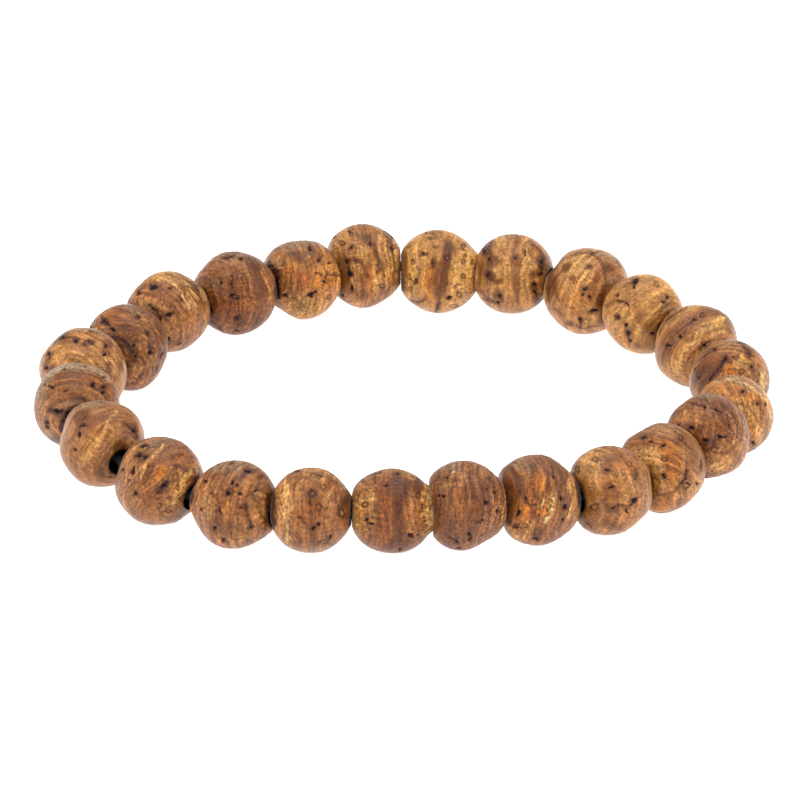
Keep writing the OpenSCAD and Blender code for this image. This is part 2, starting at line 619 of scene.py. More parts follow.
def figure_colour(figure, wood, contrast, seen, stains, bands):
    """The colour of each point, from the figure and the chart's stains and bands."""
    light, main, dark = (np.array(TONES[name], float) for name in wood)
    colour = np.repeat(main[None, :], len(seen), 0)
    by_layer, by_streak, by_mottle = FIGURE_SHARES
    shown = by_layer * figure.layers + by_streak * figure.streaks + by_mottle * figure.mottle
    colour += (contrast * soft(shown, 0, FIGURE_FULL))[:, None] * (light - colour)
    colour += (contrast * soft(-shown, 0, FIGURE_FULL))[:, None] * (dark - colour)
    stain(colour, "umber", contrast * soft(figure.blots, *BLOTS_FROM))
    for tone, strength, *place in stains:
        stain(colour, tone, strength * edged(oval(seen, *place), STAIN_EDGE, figure.ragged))
    for tone, strength, width, *line in bands:
        stain(colour, tone, strength * edged(from_line(seen, line) / width, BAND_EDGE, figure.ragged))
    by_streak, by_speckle, by_dust = LIFTS
    lifted = 1 + by_streak * figure.streaks + by_speckle * figure.speckle + by_dust * figure.dust
    return colour * lifted[:, None]


# A ring, crack or pit has a brown halo and a heart: (strength, how far out it reaches, its fade).
# They count 1 on an oval's outline, and pixels beside a crack, whose own width is added. A rim is
# (strength, width, depth), TORN is how ragged an edge is, and pits are strewn over the back.
RING_TORN = 0.2
RING_HALO = (0.2, 1.9, 1)
RING_RIM = (0.7, 0.4, 0.4)
RING_HEART = (0.6, 0.75, 0.6)
CRACK_TORN = 0.5
CRACK_HALO = (0.5, 2, 3)
CRACK_HEART = (0.85, 0.5, 0.9)
CRACK_WIDENS = 0.4
PIT_TORN = 0.22
PIT_HALO = (0.5, 2.3, 1.3)
PIT_HEART = (0.95, 1.25, 0.6)
BACK_PITS = 12
BACK_FROM = -0.1
BACK_PIT_SIZES = (0.00012, 0.0003)
BACK_PIT_HALO = (0.5, 2.2, 1)
BACK_PIT_HEART = (1.2, 0.5)
HEART_BLACK = 0.92


def mark(barrel, figure, colour, seen, rings, cracks, pits):
    """Marks knots, cracks and pits in the colour, and gives how far each point is sunk, 0 to 1."""
    in_front, ragged, points = barrel.in_front, figure.ragged, barrel.points
    sunk = np.zeros(len(points))

    def spot(far, strength, reach, fade):
        return strength * in_front * soft(reach - far, 0, fade)

    for place in rings:
        far = oval(seen, *place) + RING_TORN * ragged
        strength, width, deep = RING_RIM
        rim = in_front * np.exp(-(((far - 1) / width) ** 2)) * np.clip(0.75 + 0.5 * ragged, 0.1, 1)
        stain(colour, "umber", spot(far, *RING_HALO))
        stain(colour, "char", strength * rim)
        stain(colour, "gold", spot(far, *RING_HEART))
        sunk = np.maximum(sunk, deep * rim)
    hearts = []
    broken = np.clip(0.75 + 0.6 * figure.speckle, 0.1, 1)
    for width, *line in cracks:
        far = from_line(seen, line) + CRACK_TORN * ragged
        strength, reach, fade = CRACK_HALO
        stain(colour, "umber", spot(far, strength, width + reach, fade))
        strength, reach, fade = CRACK_HEART
        black = in_front * broken * soft(reach + width * CRACK_WIDENS - far, 0, fade)
        hearts.append((strength, black))
    for place in pits:
        far = oval(seen, *place) + PIT_TORN * ragged
        stain(colour, "umber", spot(far, *PIT_HALO))
        strength, reach, fade = PIT_HEART
        hearts.append((strength, in_front * soft(reach - far, 0, fade)))
    chance = np.random.default_rng(barrel.number)
    behind = np.flatnonzero((barrel.facing < BACK_FROM) & (barrel.outside > 0.99))
    for middle in points[chance.choice(behind, BACK_PITS)]:
        size = chance.uniform(*BACK_PIT_SIZES)
        far = np.linalg.norm((points - middle) * (1, 1, chance.uniform(0.5, 1)), axis=1) / size
        reach, fade = BACK_PIT_HEART
        hearts.append((chance.uniform(0.5, 1), soft(reach - far, 0, fade)))
        strength, reach, fade = BACK_PIT_HALO
        stain(colour, "umber", strength * soft(reach - far + 0.3 * ragged, 0, fade))
    for strength, black in hearts:
        stain(colour, "char", HEART_BLACK * strength * black)
        sunk = np.maximum(sunk, strength * black)
    return sunk


# How far the fine relief stands out or goes in, and CLEAR, what stays free beside the surface on
# which two beads meet, in metres. A charted edge wanders by (pixels, lump in metres). Painted
# shade of the crevice where neighbours meet darkens the hole's rim, as (strength, how far past the
# rim it reaches, how wide it fades).
ROUGH = 0.000008
PIT_DEPTH = 0.00016
CLEAR = 0.000008
EDGE_WANDERS = ((0.6, 0.0018), (0.45, 0.0007))
EDGE_SEEDS = (600, 700)
RIM_SHADE_BROWN = (0.25, 0.0006, 0.0005)
RIM_SHADE_BLACK = (0.9, 0.00018, 0.00018)
RIM_TORN = 0.0001


def carve_bead(number, wood, grain, stains=(), bands=(), rings=(), cracks=(), pits=(), dents=()):
    """Makes one bead from its chart. Places and sizes in a chart are pixels of the photograph.

    wood: the light, the main and the dark tone of its layers
    grain: lean of the layers in degrees, their thickness in metres and how strongly they show
    stains: (tone, strength, x, y, half across, half up, turn), where a turn of 0 is left out
    bands: (tone, strength, width, places that the band runs through)
    rings: (x, y, half across, half up), small knots with a dark rim and a pale middle
    cracks: (width, places that the crack runs through)
    pits: (x, y, half across, half up, turn), where a turn of 0 is left out
    dents: (depth in metres, x, y, how far they reach), and a depth below 0 for a bulge
    """
    lean, layer, contrast = grain
    barrel = Barrel(number)
    figure = Figure(barrel, lean, layer)
    shaped = wear(barrel, dents)
    seen = in_photo(shaped)
    for pixels, lump in EDGE_WANDERS:
        shift = [waves(barrel.points, lump, number + seed) for seed in EDGE_SEEDS]
        seen += pixels * np.stack(shift, 1)
    colour = figure_colour(figure, wood, contrast, seen, stains, bands)
    sunk = mark(barrel, figure, colour, seen, rings, cracks, pits)
    # Painted shade: round the hole, where neighbours meet, the rim is darkened brown and next to the hole
    # black.
    strength, reach, fade = RIM_SHADE_BROWN
    past_rim = barrel.hole + reach - barrel.out + RIM_TORN * figure.ragged
    stain(colour, "walnut", strength * soft(past_rim, 0, fade))
    strength, reach, fade = RIM_SHADE_BLACK
    stain(colour, "char", strength * soft(barrel.hole + reach - barrel.out, 0, fade))

    raised = ROUGH * (figure.streaks + figure.speckle) * barrel.outside - PIT_DEPTH * sunk
    shaped += raised[:, None] * barrel.outward
    for side in (1, -1):
        room, _ = room_left(shaped, barrel.i, side)
        shaped -= side * np.maximum(CLEAR - room, 0)[:, None] * np.array(barrel.along)
    shaped[:, 2] = np.maximum(shaped[:, 2], 0)
    mesh = barrel.mesh
    mesh.vertices.foreach_set("co", shaped.ravel())
    rgba = np.column_stack((own_colour(colour), np.ones(len(shaped))))
    mesh.attributes.new("figure", "FLOAT_COLOR", "POINT").data.foreach_set("color", rgba.ravel())
    mesh.attributes.new("lie", "FLOAT_VECTOR", "POINT").data.foreach_set("vector", figure.lie.ravel())
    mesh.attributes.new("sunk", "FLOAT", "POINT").data.foreach_set("value", sunk)
    mesh.update()
    node = NAMES[barrel.i]
    bead = bpy.data.objects.new(f"wooden_{node}", mesh)
    bpy.context.scene.collection.objects.link(bead)
    mesh.materials.append(woods[slots[node]])
    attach(bead, "root")
    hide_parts(node)


# Bead 1, front left of the middle: gold on the left, and a long eye with knots down it.
carve_bead(
    1,
    wood=("honey", "fawn", "umber"),
    grain=(0, 0.0011, 0.24),
    stains=[
        ("honey", 0.85, 281, 510, 8, 36), ("tan", 0.6, 294, 515, 6, 34), ("orange", 0.45, 318, 484, 16, 8),
        ("honey", 0.4, 326, 500, 6, 20), ("russet", 0.65, 312, 512, 8, 19),
        ("umber", 0.5, 312, 495, 8, 9, 20), ("russet", 0.45, 337, 524, 8, 7),
        # Painted shade: the umber oval near 345, 512, at the right end beside bead 2.
        ("umber", 0.55, 314, 532, 5, 11), ("umber", 0.5, 345, 512, 5, 22), ("umber", 0.5, 292, 515, 4, 4),
        ("umber", 0.5, 294, 534, 4, 4), ("umber", 0.5, 299, 541, 4, 3), ("umber", 0.5, 295, 484, 4, 3),
        # Painted sheen: the grey oval along the bottom rim.
        ("grey_and_sheen", 0.4, 322, 550, 20, 5), ("plum", 0.3, 316, 540, 6, 5), ("chestnut", 0.5, 340, 515, 5, 26),
        ("chestnut", 0.4, 306, 530, 5, 14, -15), ("honey", 0.6, 322, 474, 24, 6, 5),
        ("honey", 0.5, 297, 500, 5, 18), ("chestnut", 0.4, 342, 520, 6, 12),
        ("chestnut", 0.4, 292, 541, 14, 7, 25), ("gold", 0.5, 325, 472, 26, 7, 5),
        ("umber", 0.5, 315, 513, 4, 8), ("chestnut", 0.5, 296, 515, 4, 6),
        ("chestnut", 0.5, 303, 546, 8, 4), ("umber", 0.4, 340, 515, 5, 12),
        ("honey", 0.4, 322, 473, 24, 5, 5), ("chestnut", 0.3, 300, 515, 3, 8),
        ("honey", 0.5, 341, 487, 3, 11, -35),
    ],
    bands=[
        ("straw", 0.9, 4, (286, 478), (287, 500), (287, 540)),
        ("umber", 0.35, 3, (303, 508), (306, 522), (312, 534)),
        ("umber", 0.45, 2, (306, 478), (314, 474), (328, 476), (338, 486)),
        # Painted shade: the char band at the left edge and the umber band at the right edge, where the
        # neighbours meet.
        ("char", 0.8, 4, (273, 488), (272, 510), (273, 532)), ("umber", 0.5, 3, (349, 495), (350, 525)),
    ],
    rings=[
        (312, 493, 4, 3.5), (324, 487, 2.5, 2.5), (318, 508, 2.8, 3.5), (341, 513, 3, 3.5),
        (324, 542, 3.5, 2),
    ],
    cracks=[
        (1, (309, 496), (309, 504)), (1.5, (301, 515), (306, 523)), (1, (332, 530), (331, 536), (326, 541)),
        (1, (311, 474), (316, 473), (322, 475)), (1, (335, 493), (337, 501), (340, 507)),
    ],
    pits=[
        (296, 471, 3, 1.5, 30), (318, 524, 2.2, 1.6), (314, 528, 2.2, 2.5), (331, 536, 1.5, 1.5),
        (311, 490, 1.6, 1.6),
    ],
    dents=[
        (0.0002, 341, 482, 26), (-0.00015, 292, 545, 28), (0.00015, 342, 540, 26), (0.0001, 310, 467, 26),
    ],
)

# Bead 2, front middle: upright stripes, with a deep red-brown one down the middle.
carve_bead(
    2,
    wood=("tan", "chestnut", "umber"),
    grain=(0, 0.0008, 0.3),
    stains=[
        # Painted sheen: the grey oval along the top; the tan and honey ovals near 398, 473 and 396, 471
        # also lighten the top as painted highlight.
        ("umber", 0.75, 393, 485, 11, 9), ("grey_and_sheen", 0.5, 400, 474, 14, 5), ("umber", 0.55, 370, 522, 6, 6),
        ("orange", 0.3, 416, 515, 8, 24), ("umber", 0.55, 418, 489, 4, 4), ("honey", 0.5, 369, 506, 11, 18),
        ("honey", 0.6, 365, 492, 7, 14), ("plum", 0.5, 392, 545, 18, 6), ("chestnut", 0.5, 374, 522, 9, 5),
        # Painted highlight: the honey and straw ovals near 428, 508 lighten the right end against its
        # shade.
        ("umber", 0.45, 377, 494, 5, 5), ("umber", 0.5, 376, 508, 4, 6), ("honey", 0.7, 428, 508, 6, 28),
        ("honey", 0.4, 357, 520, 5, 18), ("tan", 0.5, 398, 474, 26, 6), ("honey", 0.6, 398, 473, 26, 7),
        ("honey", 0.6, 358, 518, 7, 20), ("straw", 0.5, 427, 508, 5, 26), ("gold", 0.5, 358, 515, 6, 20),
        ("honey", 0.5, 396, 471, 24, 5), ("straw", 0.4, 429, 506, 4, 22), ("gold", 0.5, 354, 515, 3, 18),
        ("straw", 0.6, 355, 510, 3, 18),
    ],
    bands=[
        ("straw", 0.3, 5, (371, 482), (371, 500), (371, 520)), ("russet", 0.65, 9, (385, 480), (385, 540)),
        ("umber", 0.75, 11, (398, 475), (399, 500), (399, 542)),
        ("walnut", 0.35, 5, (399, 496), (398, 510), (398, 528)),
        ("honey", 0.45, 4, (411, 488), (412, 512), (411, 535)),
        # Partly the bead's own pale straw and partly painted highlight: these bands lighten the right end,
        # in the shade where it meets bead 3.
        ("straw", 0.5, 8, (430, 488), (432, 508), (430, 532)),
        ("cream_and_highlight", 0.9, 6, (432, 488), (434, 505), (432, 524)),
    ],
    rings=[(365, 505, 3, 2.5), (424, 506, 2, 2.5), (377, 473, 3, 2), (418, 494, 2.5, 1.5)],
    pits=[
        (411, 536, 2, 2), (398, 474, 1.6, 1.3), (387, 484, 2.5, 1.3), (367, 519, 1.5, 1.5),
        (371, 524, 2.2, 1.6), (399, 548, 1.5, 1), (418, 535, 1.5, 0.8),
    ],
    dents=[
        (-0.0002, 357, 483, 26), (-0.0001, 420, 478, 24), (-0.0003, 433, 505, 30), (0.0001, 392, 551, 30),
    ],
)

# Bead 3, front right of the middle: dark, mottled and purplish, with short slits near its foot.
carve_bead(
    3,
    wood=("tan", "chestnut", "umber"),
    grain=(12, 0.0009, 0.24),
    stains=[
        # Painted sheen: the grey oval at the top left.
        ("grey_and_sheen", 0.6, 447, 470, 16, 7, -25), ("honey", 0.65, 460, 475, 9, 4),
        ("honey", 0.6, 480, 469, 9, 6, 20), ("honey", 0.6, 452, 486, 13, 3, -15),
        ("umber", 0.7, 447, 479, 11, 3, 10), ("plum", 0.55, 481, 499, 11, 20),
        # Painted shade: the umber ovals near 439, 508 and 443, 515, at the left end behind bead 2.
        ("umber", 0.6, 439, 508, 8, 18), ("chestnut", 0.5, 464, 513, 13, 17),
        ("honey", 0.65, 504, 512, 3, 14), ("plum", 0.4, 448, 530, 14, 8), ("honey", 0.4, 495, 502, 4, 8),
        ("umber", 0.4, 473, 478, 4, 12), ("chestnut", 0.5, 468, 525, 12, 12),
        ("umber", 0.4, 443, 515, 7, 20), ("tan", 0.4, 475, 472, 12, 8, 25),
        ("umber", 0.4, 470, 525, 10, 10), ("chestnut", 0.5, 490, 530, 10, 8),
        ("umber", 0.35, 470, 518, 8, 12), ("tan", 0.6, 446, 478, 7, 6), ("umber", 0.25, 471, 517, 8, 11),
        ("honey", 0.4, 504, 500, 3, 16), ("honey", 0.5, 505, 508, 2.5, 14),
    ],
    bands=[("umber", 0.5, 3, (470, 472), (473, 490), (474, 512)), ("tan", 0.5, 4, (493, 500), (494, 520))],
    cracks=[
        (1.5, (447, 537), (452, 539), (456, 542)), (1, (480, 537), (483, 535.5)),
        (1, (476, 519), (481, 522)),
    ],
    pits=[
        (488.5, 490, 1.4, 1.1), (496, 491.5, 2.2, 1.6), (485, 502, 2, 1.3, 20), (497, 511, 1.4, 2),
        (482.5, 519.5, 1.5, 1), (468.5, 534, 2, 3, -20), (470.5, 539.5, 1.4, 2.6, -20),
        (456, 542, 2.2, 1.6, 20), (487, 478, 1.6, 1), (443, 496.5, 2.2, 1.2), (438, 496, 1.3, 1),
        (459, 548, 2.5, 1), (470, 478, 1.5, 1), (447, 478, 1.5, 1),
    ],
    dents=[
        (-0.0003, 438, 473, 30), (-0.0002, 430, 492, 24), (0.0002, 480, 465, 32), (0.00015, 494, 474, 18),
        (0.00037, 484, 544, 34), (-0.0003, 438, 538, 26), (-0.0001, 457, 549, 22),
    ],
)

# Bead 4: the darkest of the front, with an orange heart and slivers of cream beside it.
carve_bead(
    4,
    wood=("honey", "fawn", "umber"),
    grain=(8, 0.0009, 0.26),
    stains=[
        # Painted sheen: the grey oval along the top. Painted shade: the umber oval near 508, 494, at the
        # left end behind bead 3.
        ("grey_and_sheen", 0.45, 520, 463, 22, 7, -15), ("plum", 0.5, 547, 468, 18, 10, 30),
        ("umber", 0.7, 508, 494, 8, 28), ("orange", 0.75, 541, 483, 5, 12, -10),
        ("russet", 0.6, 531, 489, 8, 9), ("orange", 0.8, 526, 514, 7, 14), ("honey", 0.8, 530, 525, 8, 7),
        ("russet", 0.7, 535, 513, 6, 6), ("orange", 0.8, 544, 508, 5, 10),
        ("honey", 0.8, 514, 533, 14, 5, 25), ("umber", 0.7, 537, 533, 6, 5),
        ("honey", 0.85, 573, 500, 4, 24, -5), ("umber", 0.6, 549, 487, 3, 7),
        ("plum", 0.6, 562, 480, 6, 14), ("chestnut", 0.5, 555, 535, 12, 6, -20),
        ("umber", 0.5, 517, 484, 7, 16, -20), ("umber", 0.5, 541, 499, 5, 4),
        ("chestnut", 0.6, 547, 522, 8, 5), ("chestnut", 0.6, 519, 515, 4, 6),
        ("chestnut", 0.5, 566, 522, 5, 9),
    ],
    bands=[
        ("umber", 0.7, 4, (522, 478), (521, 490), (525, 502)),
        ("cream_and_highlight", 0.95, 4, (552, 498), (552, 506), (551, 510)),
        ("cream_and_highlight", 0.85, 2.5, (551, 510), (549, 516), (545, 523)),
        ("cream_and_highlight", 0.8, 2.5, (545, 500), (542, 507)), ("umber", 0.6, 5, (558, 485), (561, 505), (558, 528)),
        ("straw", 0.6, 3, (568, 482), (571, 500), (569, 518)),
        # Painted shade: the char band at the right edge, in the crevice beside bead 5.
        ("char", 0.8, 4, (576, 475), (580, 490), (580, 506)),
    ],
    rings=[(517, 527, 2.5, 2), (526.5, 526, 2.5, 2)],
    cracks=[
        (1.2, (526, 501), (526, 505), (531, 505.5), (536, 504)), (1.2, (552, 473), (553, 478)),
        (1, (551, 497), (550, 512)),
    ],
    pits=[
        (525, 499, 2, 1.6), (518, 514, 2, 3), (561, 498, 1.3, 2), (564.5, 506, 1.5, 2.5),
        (535, 538, 3, 1.4), (517, 528, 1.5, 1), (516, 463, 2, 0.8), (553, 477, 1.2, 1.5),
        (562, 520, 1.2, 2, 20),
    ],
    dents=[
        (-0.0003, 512, 463, 30), (0.0004, 563, 465, 28), (0.0002, 558, 538, 30), (-0.0002, 512, 535, 26),
        (0.00007, 540, 455, 30), (-0.0002, 502, 474, 18),
    ],
)

# Bead 5: pale tan, with a column of smudged knots, and a chain of black cracks under them.
carve_bead(
    5,
    wood=("gold", "tan", "chestnut"),
    grain=(0, 0.0011, 0.24),
    stains=[
        # Painted shade: the umber oval near 580, 498, at the left end behind bead 4.
        ("straw", 0.75, 588, 468, 10, 18, 10), ("umber", 0.7, 580, 498, 6, 20, 8),
        ("straw", 0.5, 598, 482, 6, 22), ("umber", 0.6, 613, 459, 12, 5, 12),
        ("umber", 0.6, 610, 461, 4, 3), ("umber", 0.65, 607, 470, 5, 4), ("umber", 0.8, 610, 487, 8, 6),
        ("russet", 0.5, 606, 498, 7, 8), ("orange", 0.4, 622, 466, 16, 5, 5),
        ("umber", 0.45, 595, 459, 4, 3), ("honey", 0.6, 625, 483, 9, 16),
        ("umber", 0.55, 637, 474, 3, 7, -20), ("umber", 0.65, 612, 509, 7, 4, 10),
        ("orange", 0.35, 625, 516, 15, 5, -15), ("tan", 0.5, 631, 508, 9, 7),
        ("umber", 0.6, 612, 525, 10, 5, 20), ("umber", 0.55, 596, 511, 6, 5), ("tan", 0.5, 643, 480, 4, 28),
        ("chestnut", 0.5, 590, 522, 9, 5, 30), ("chestnut", 0.6, 594, 498, 7, 14),
        ("umber", 0.5, 614, 495, 8, 5), ("honey", 0.4, 618, 478, 6, 8), ("chestnut", 0.4, 588, 480, 6, 14),
        ("gold", 0.4, 594, 470, 5, 14, 15), ("gold", 0.5, 583, 517, 5, 6),
    ],
    bands=[("chestnut", 0.4, 4, (603, 462), (602, 480), (604, 500))],
    rings=[
        (630, 464, 2, 2), (637, 477, 1.8, 2.5), (595, 459, 2.5, 2), (594, 507, 3, 2.5), (577, 470, 2, 3),
    ],
    cracks=[
        (2, (609, 509), (614, 509), (619, 506), (624, 507.5), (629, 508.5), (632, 504), (635, 500)),
        (1.2, (626, 508), (627, 512)), (1, (587, 522), (592, 527)),
    ],
    pits=[
        (634, 500, 2, 3, 35), (613, 509, 3, 1.6), (610, 487, 3, 1), (607, 469.5, 2, 1.3),
        (627, 512, 1, 1.8),
    ],
    dents=[
        (-0.0002, 578, 462, 26), (0.0002, 625, 533, 30), (0.0002, 651, 488, 26), (-0.0002, 584, 527, 24),
        (0.0002, 640, 521, 24),
    ],
)

# Bead 6: greenish gold round the hole's dark whorl, then orange, and brown arcs with black slits.
carve_bead(
    6,
    wood=("gold", "tan", "chestnut"),
    grain=(-25, 0.0008, 0.28),
    stains=[
        ("straw", 0.75, 652, 459, 12, 14, -30), ("umber", 0.45, 662, 478, 7, 6),
        ("umber", 0.65, 668, 442, 9, 5, 20), ("russet", 0.5, 681, 461, 4, 10),
        ("orange", 0.7, 672, 478, 5, 16, -20), ("russet", 0.6, 671, 462, 7, 9),
        ("umber", 0.65, 648, 440, 11, 5, 15), ("orange", 0.5, 662, 446, 14, 6, 20),
        ("umber", 0.6, 680, 440, 6, 7), ("plum", 0.5, 690, 460, 7, 22),
        # Painted sheen: the grey oval along the top.
        ("honey", 0.7, 668, 494, 18, 7, -15), ("grey_and_sheen", 0.4, 655, 429, 22, 4),
        ("honey", 0.6, 696, 490, 6, 14, 20), ("orange", 0.4, 662, 507, 18, 4, -10),
        ("chestnut", 0.6, 634, 437, 8, 8, -30), ("chestnut", 0.4, 670, 502, 14, 8),
        ("honey", 0.3, 672, 484, 9, 6), ("gold", 0.6, 659, 484, 6, 10),
    ],
    bands=[
        ("umber", 0.7, 2.5, (686, 462), (687, 470), (684, 479), (679, 487), (668, 494), (652, 497)),
        ("honey", 0.6, 3, (682, 450), (684, 462), (683, 475)),
        ("straw", 0.5, 4, (650, 450), (658, 458), (663, 468)),
        ("umber", 0.3, 3, (650, 468), (652, 480), (651, 492)),
        ("umber", 0.4, 2, (657, 466), (659, 480), (656, 492)),
        ("umber", 0.6, 4, (698, 440), (704, 455), (704, 472)),
        ("umber", 0.3, 5, (652, 470), (654, 490), (652, 508)),
    ],
    rings=[(665, 459, 3, 2.2), (680, 438, 2.5, 2.5), (687, 486, 3, 2.5)],
    cracks=[
        (2, (686, 470), (684, 479), (680, 485)), (1, (700, 460), (701, 470)), (1.2, (673, 431), (677, 434)),
    ],
    pits=[
        (663.5, 446, 1.5, 2), (643, 438, 2.5, 1.6), (650, 441, 2, 1.3), (663, 476, 2, 2.5),
        (697, 484, 1.3, 2.2), (688, 484, 1.5, 1.2),
    ],
    dents=[
        (-0.0002, 624, 446, 18), (0.00025, 692, 499, 32), (0.0002, 640, 427, 20), (-0.00025, 658, 511, 22),
    ],
)

# Bead 7: purple-brown above, with a row of slits in pale lips, and gold arcs under a dark band.
carve_bead(
    7,
    wood=("tan", "chestnut", "umber"),
    grain=(35, 0.0009, 0.26),
    stains=[
        # Painted sheen: the grey oval along the top.
        ("plum", 0.8, 723, 414, 17, 12, 35), ("grey_and_sheen", 0.5, 705, 397, 20, 4), ("tan", 0.6, 698, 412, 14, 6),
        ("honey", 0.45, 692, 420, 12, 5), ("umber", 0.5, 690, 428, 6, 5), ("chestnut", 0.6, 712, 421, 8, 6),
        ("umber", 0.85, 716, 444, 17, 7, 5), ("tan", 0.5, 688, 409, 10, 7, -30),
        ("honey", 0.85, 733, 452, 14, 16, -50), ("gold", 0.7, 722, 464, 16, 8, -15),
        ("tan", 0.6, 740, 425, 6, 22, -10), ("umber", 0.6, 704, 455, 6, 12),
        ("chestnut", 0.6, 736, 455, 5, 4), ("straw", 0.5, 716, 466, 6, 3), ("russet", 0.5, 727, 426, 6, 7),
        ("walnut", 0.4, 722, 445, 6, 4), ("tan", 0.5, 690, 406, 10, 6, -30),
        ("honey", 0.5, 712, 458, 12, 6),
    ],
    bands=[
        ("umber", 0.55, 2.5, (740, 440), (735, 448), (727, 453), (716, 452)),
        ("chestnut", 0.45, 3, (741, 452), (736, 462), (726, 470)),
        ("cream_and_highlight", 0.7, 2, (727, 413), (731, 417)), ("cream_and_highlight", 0.8, 2.5, (729, 429), (733, 431)),
        ("cream_and_highlight", 0.5, 2, (705, 409), (709, 407)),
        ("chestnut", 0.5, 2.5, (698, 418), (712, 418), (722, 424)),
    ],
    cracks=[
        (2, (690, 402), (697, 404)), (2, (701, 405), (706, 407.5)),
        (2.2, (712, 409), (717, 411), (722, 413)), (2, (723, 421), (728, 426), (732, 430)),
        (1.5, (718, 436), (726, 437)),
    ],
    pits=[
        (692, 427, 2.5, 1.8), (719.5, 436.5, 2.2, 1.8), (679, 425, 1.5, 2), (717, 411, 2.5, 1.4, 20),
        (704, 477, 1.8, 0.8), (705, 440, 2.5, 1.6),
    ],
    dents=[(0.0002, 718, 478, 26), (0.0002, 682, 402, 26)],
)

# Bead 8, at the right end: smooth orange brown, with wavy pale arcs low down.
carve_bead(
    8,
    wood=("straw", "honey", "fawn"),
    grain=(50, 0.0009, 0.24),
    stains=[
        # Painted sheen: the grey oval along the top.
        ("orange", 0.4, 735, 392, 26, 9, 15), ("grey_and_sheen", 0.55, 742, 383, 22, 4, 25),
        ("umber", 0.55, 742, 393, 5, 4), ("umber", 0.55, 757, 404, 5, 4),
        ("chestnut", 0.5, 764, 425, 4, 20), ("orange", 0.45, 752, 425, 7, 12),
        ("umber", 0.55, 753, 444, 4, 7), ("tan", 0.5, 715, 385, 12, 5, -20),
        ("straw", 0.4, 756, 390, 10, 3, 35), ("gold", 0.5, 748, 412, 6, 16, -35),
    ],
    bands=[
        ("straw", 0.7, 3, (738, 404), (748, 412), (756, 424), (760, 436)),
        ("straw", 0.55, 2.5, (757, 420), (761, 432), (758, 442)),
        ("chestnut", 0.5, 2.5, (742, 404), (752, 412), (760, 424)),
        ("honey", 0.6, 3, (748, 430), (752, 440)),
        # Painted sheen: the cream band along the top rim.
        ("cream_and_highlight", 0.5, 2, (715, 381), (735, 380), (752, 387), (766, 401), (772, 418)),
    ],
    pits=[(742, 393, 1.4, 1.2), (757, 404, 1.3, 1.3), (753, 443, 1.5, 2.5), (766, 405, 0.8, 1.5)],
    dents=[(0.0001, 770, 405, 30)],
)

# Bead 9: dark red on the left with a black cleft, orange gold on the right with a black slit.
carve_bead(
    9,
    wood=("gold", "tan", "umber"),
    grain=(20, 0.0009, 0.26),
    stains=[
        ("umber", 0.85, 704, 375, 10, 17, 20), ("russet", 0.6, 715, 362, 10, 6, -20),
        ("plum", 0.7, 710, 352, 10, 6, -40), ("orange", 0.75, 732, 364, 12, 12),
        ("gold", 0.8, 742, 363, 8, 9), ("straw", 0.95, 762, 378, 5, 10, 10),
        # Painted sheen: the grey oval along the top.
        ("umber", 0.7, 747, 352, 4, 7, -30), ("grey_and_sheen", 0.45, 742, 344, 18, 4, 15),
        ("umber", 0.4, 753, 368, 4, 5), ("umber", 0.5, 741, 371, 3, 5), ("honey", 0.7, 758, 360, 6, 8, -30),
        ("russet", 0.5, 725, 355, 9, 4), ("tan", 0.4, 733, 350, 8, 5), ("straw", 0.6, 740, 366, 6, 7),
        ("tan", 0.5, 722, 345, 14, 3, -5),
    ],
    bands=[
        ("umber", 0.9, 6, (724, 360), (718, 368), (710, 378)), ("straw", 0.6, 2, (766, 372), (765, 386)),
    ],
    rings=[(735, 357, 3, 2), (741, 372, 1.8, 3)],
    cracks=[
        (3, (726, 358), (721, 364), (716, 372), (710, 379)), (1.8, (742, 346), (746, 350), (750, 357)),
        (1.5, (760, 372), (758, 383)), (1.5, (738, 341), (745, 343)), (1, (724, 361), (731, 363)),
    ],
    pits=[
        (705, 356, 2, 1.2), (713, 350, 2.5, 1.2), (753, 366, 1.5, 2), (699, 378, 1.2, 1.2),
        (696, 368, 1.2, 1.2),
    ],
)

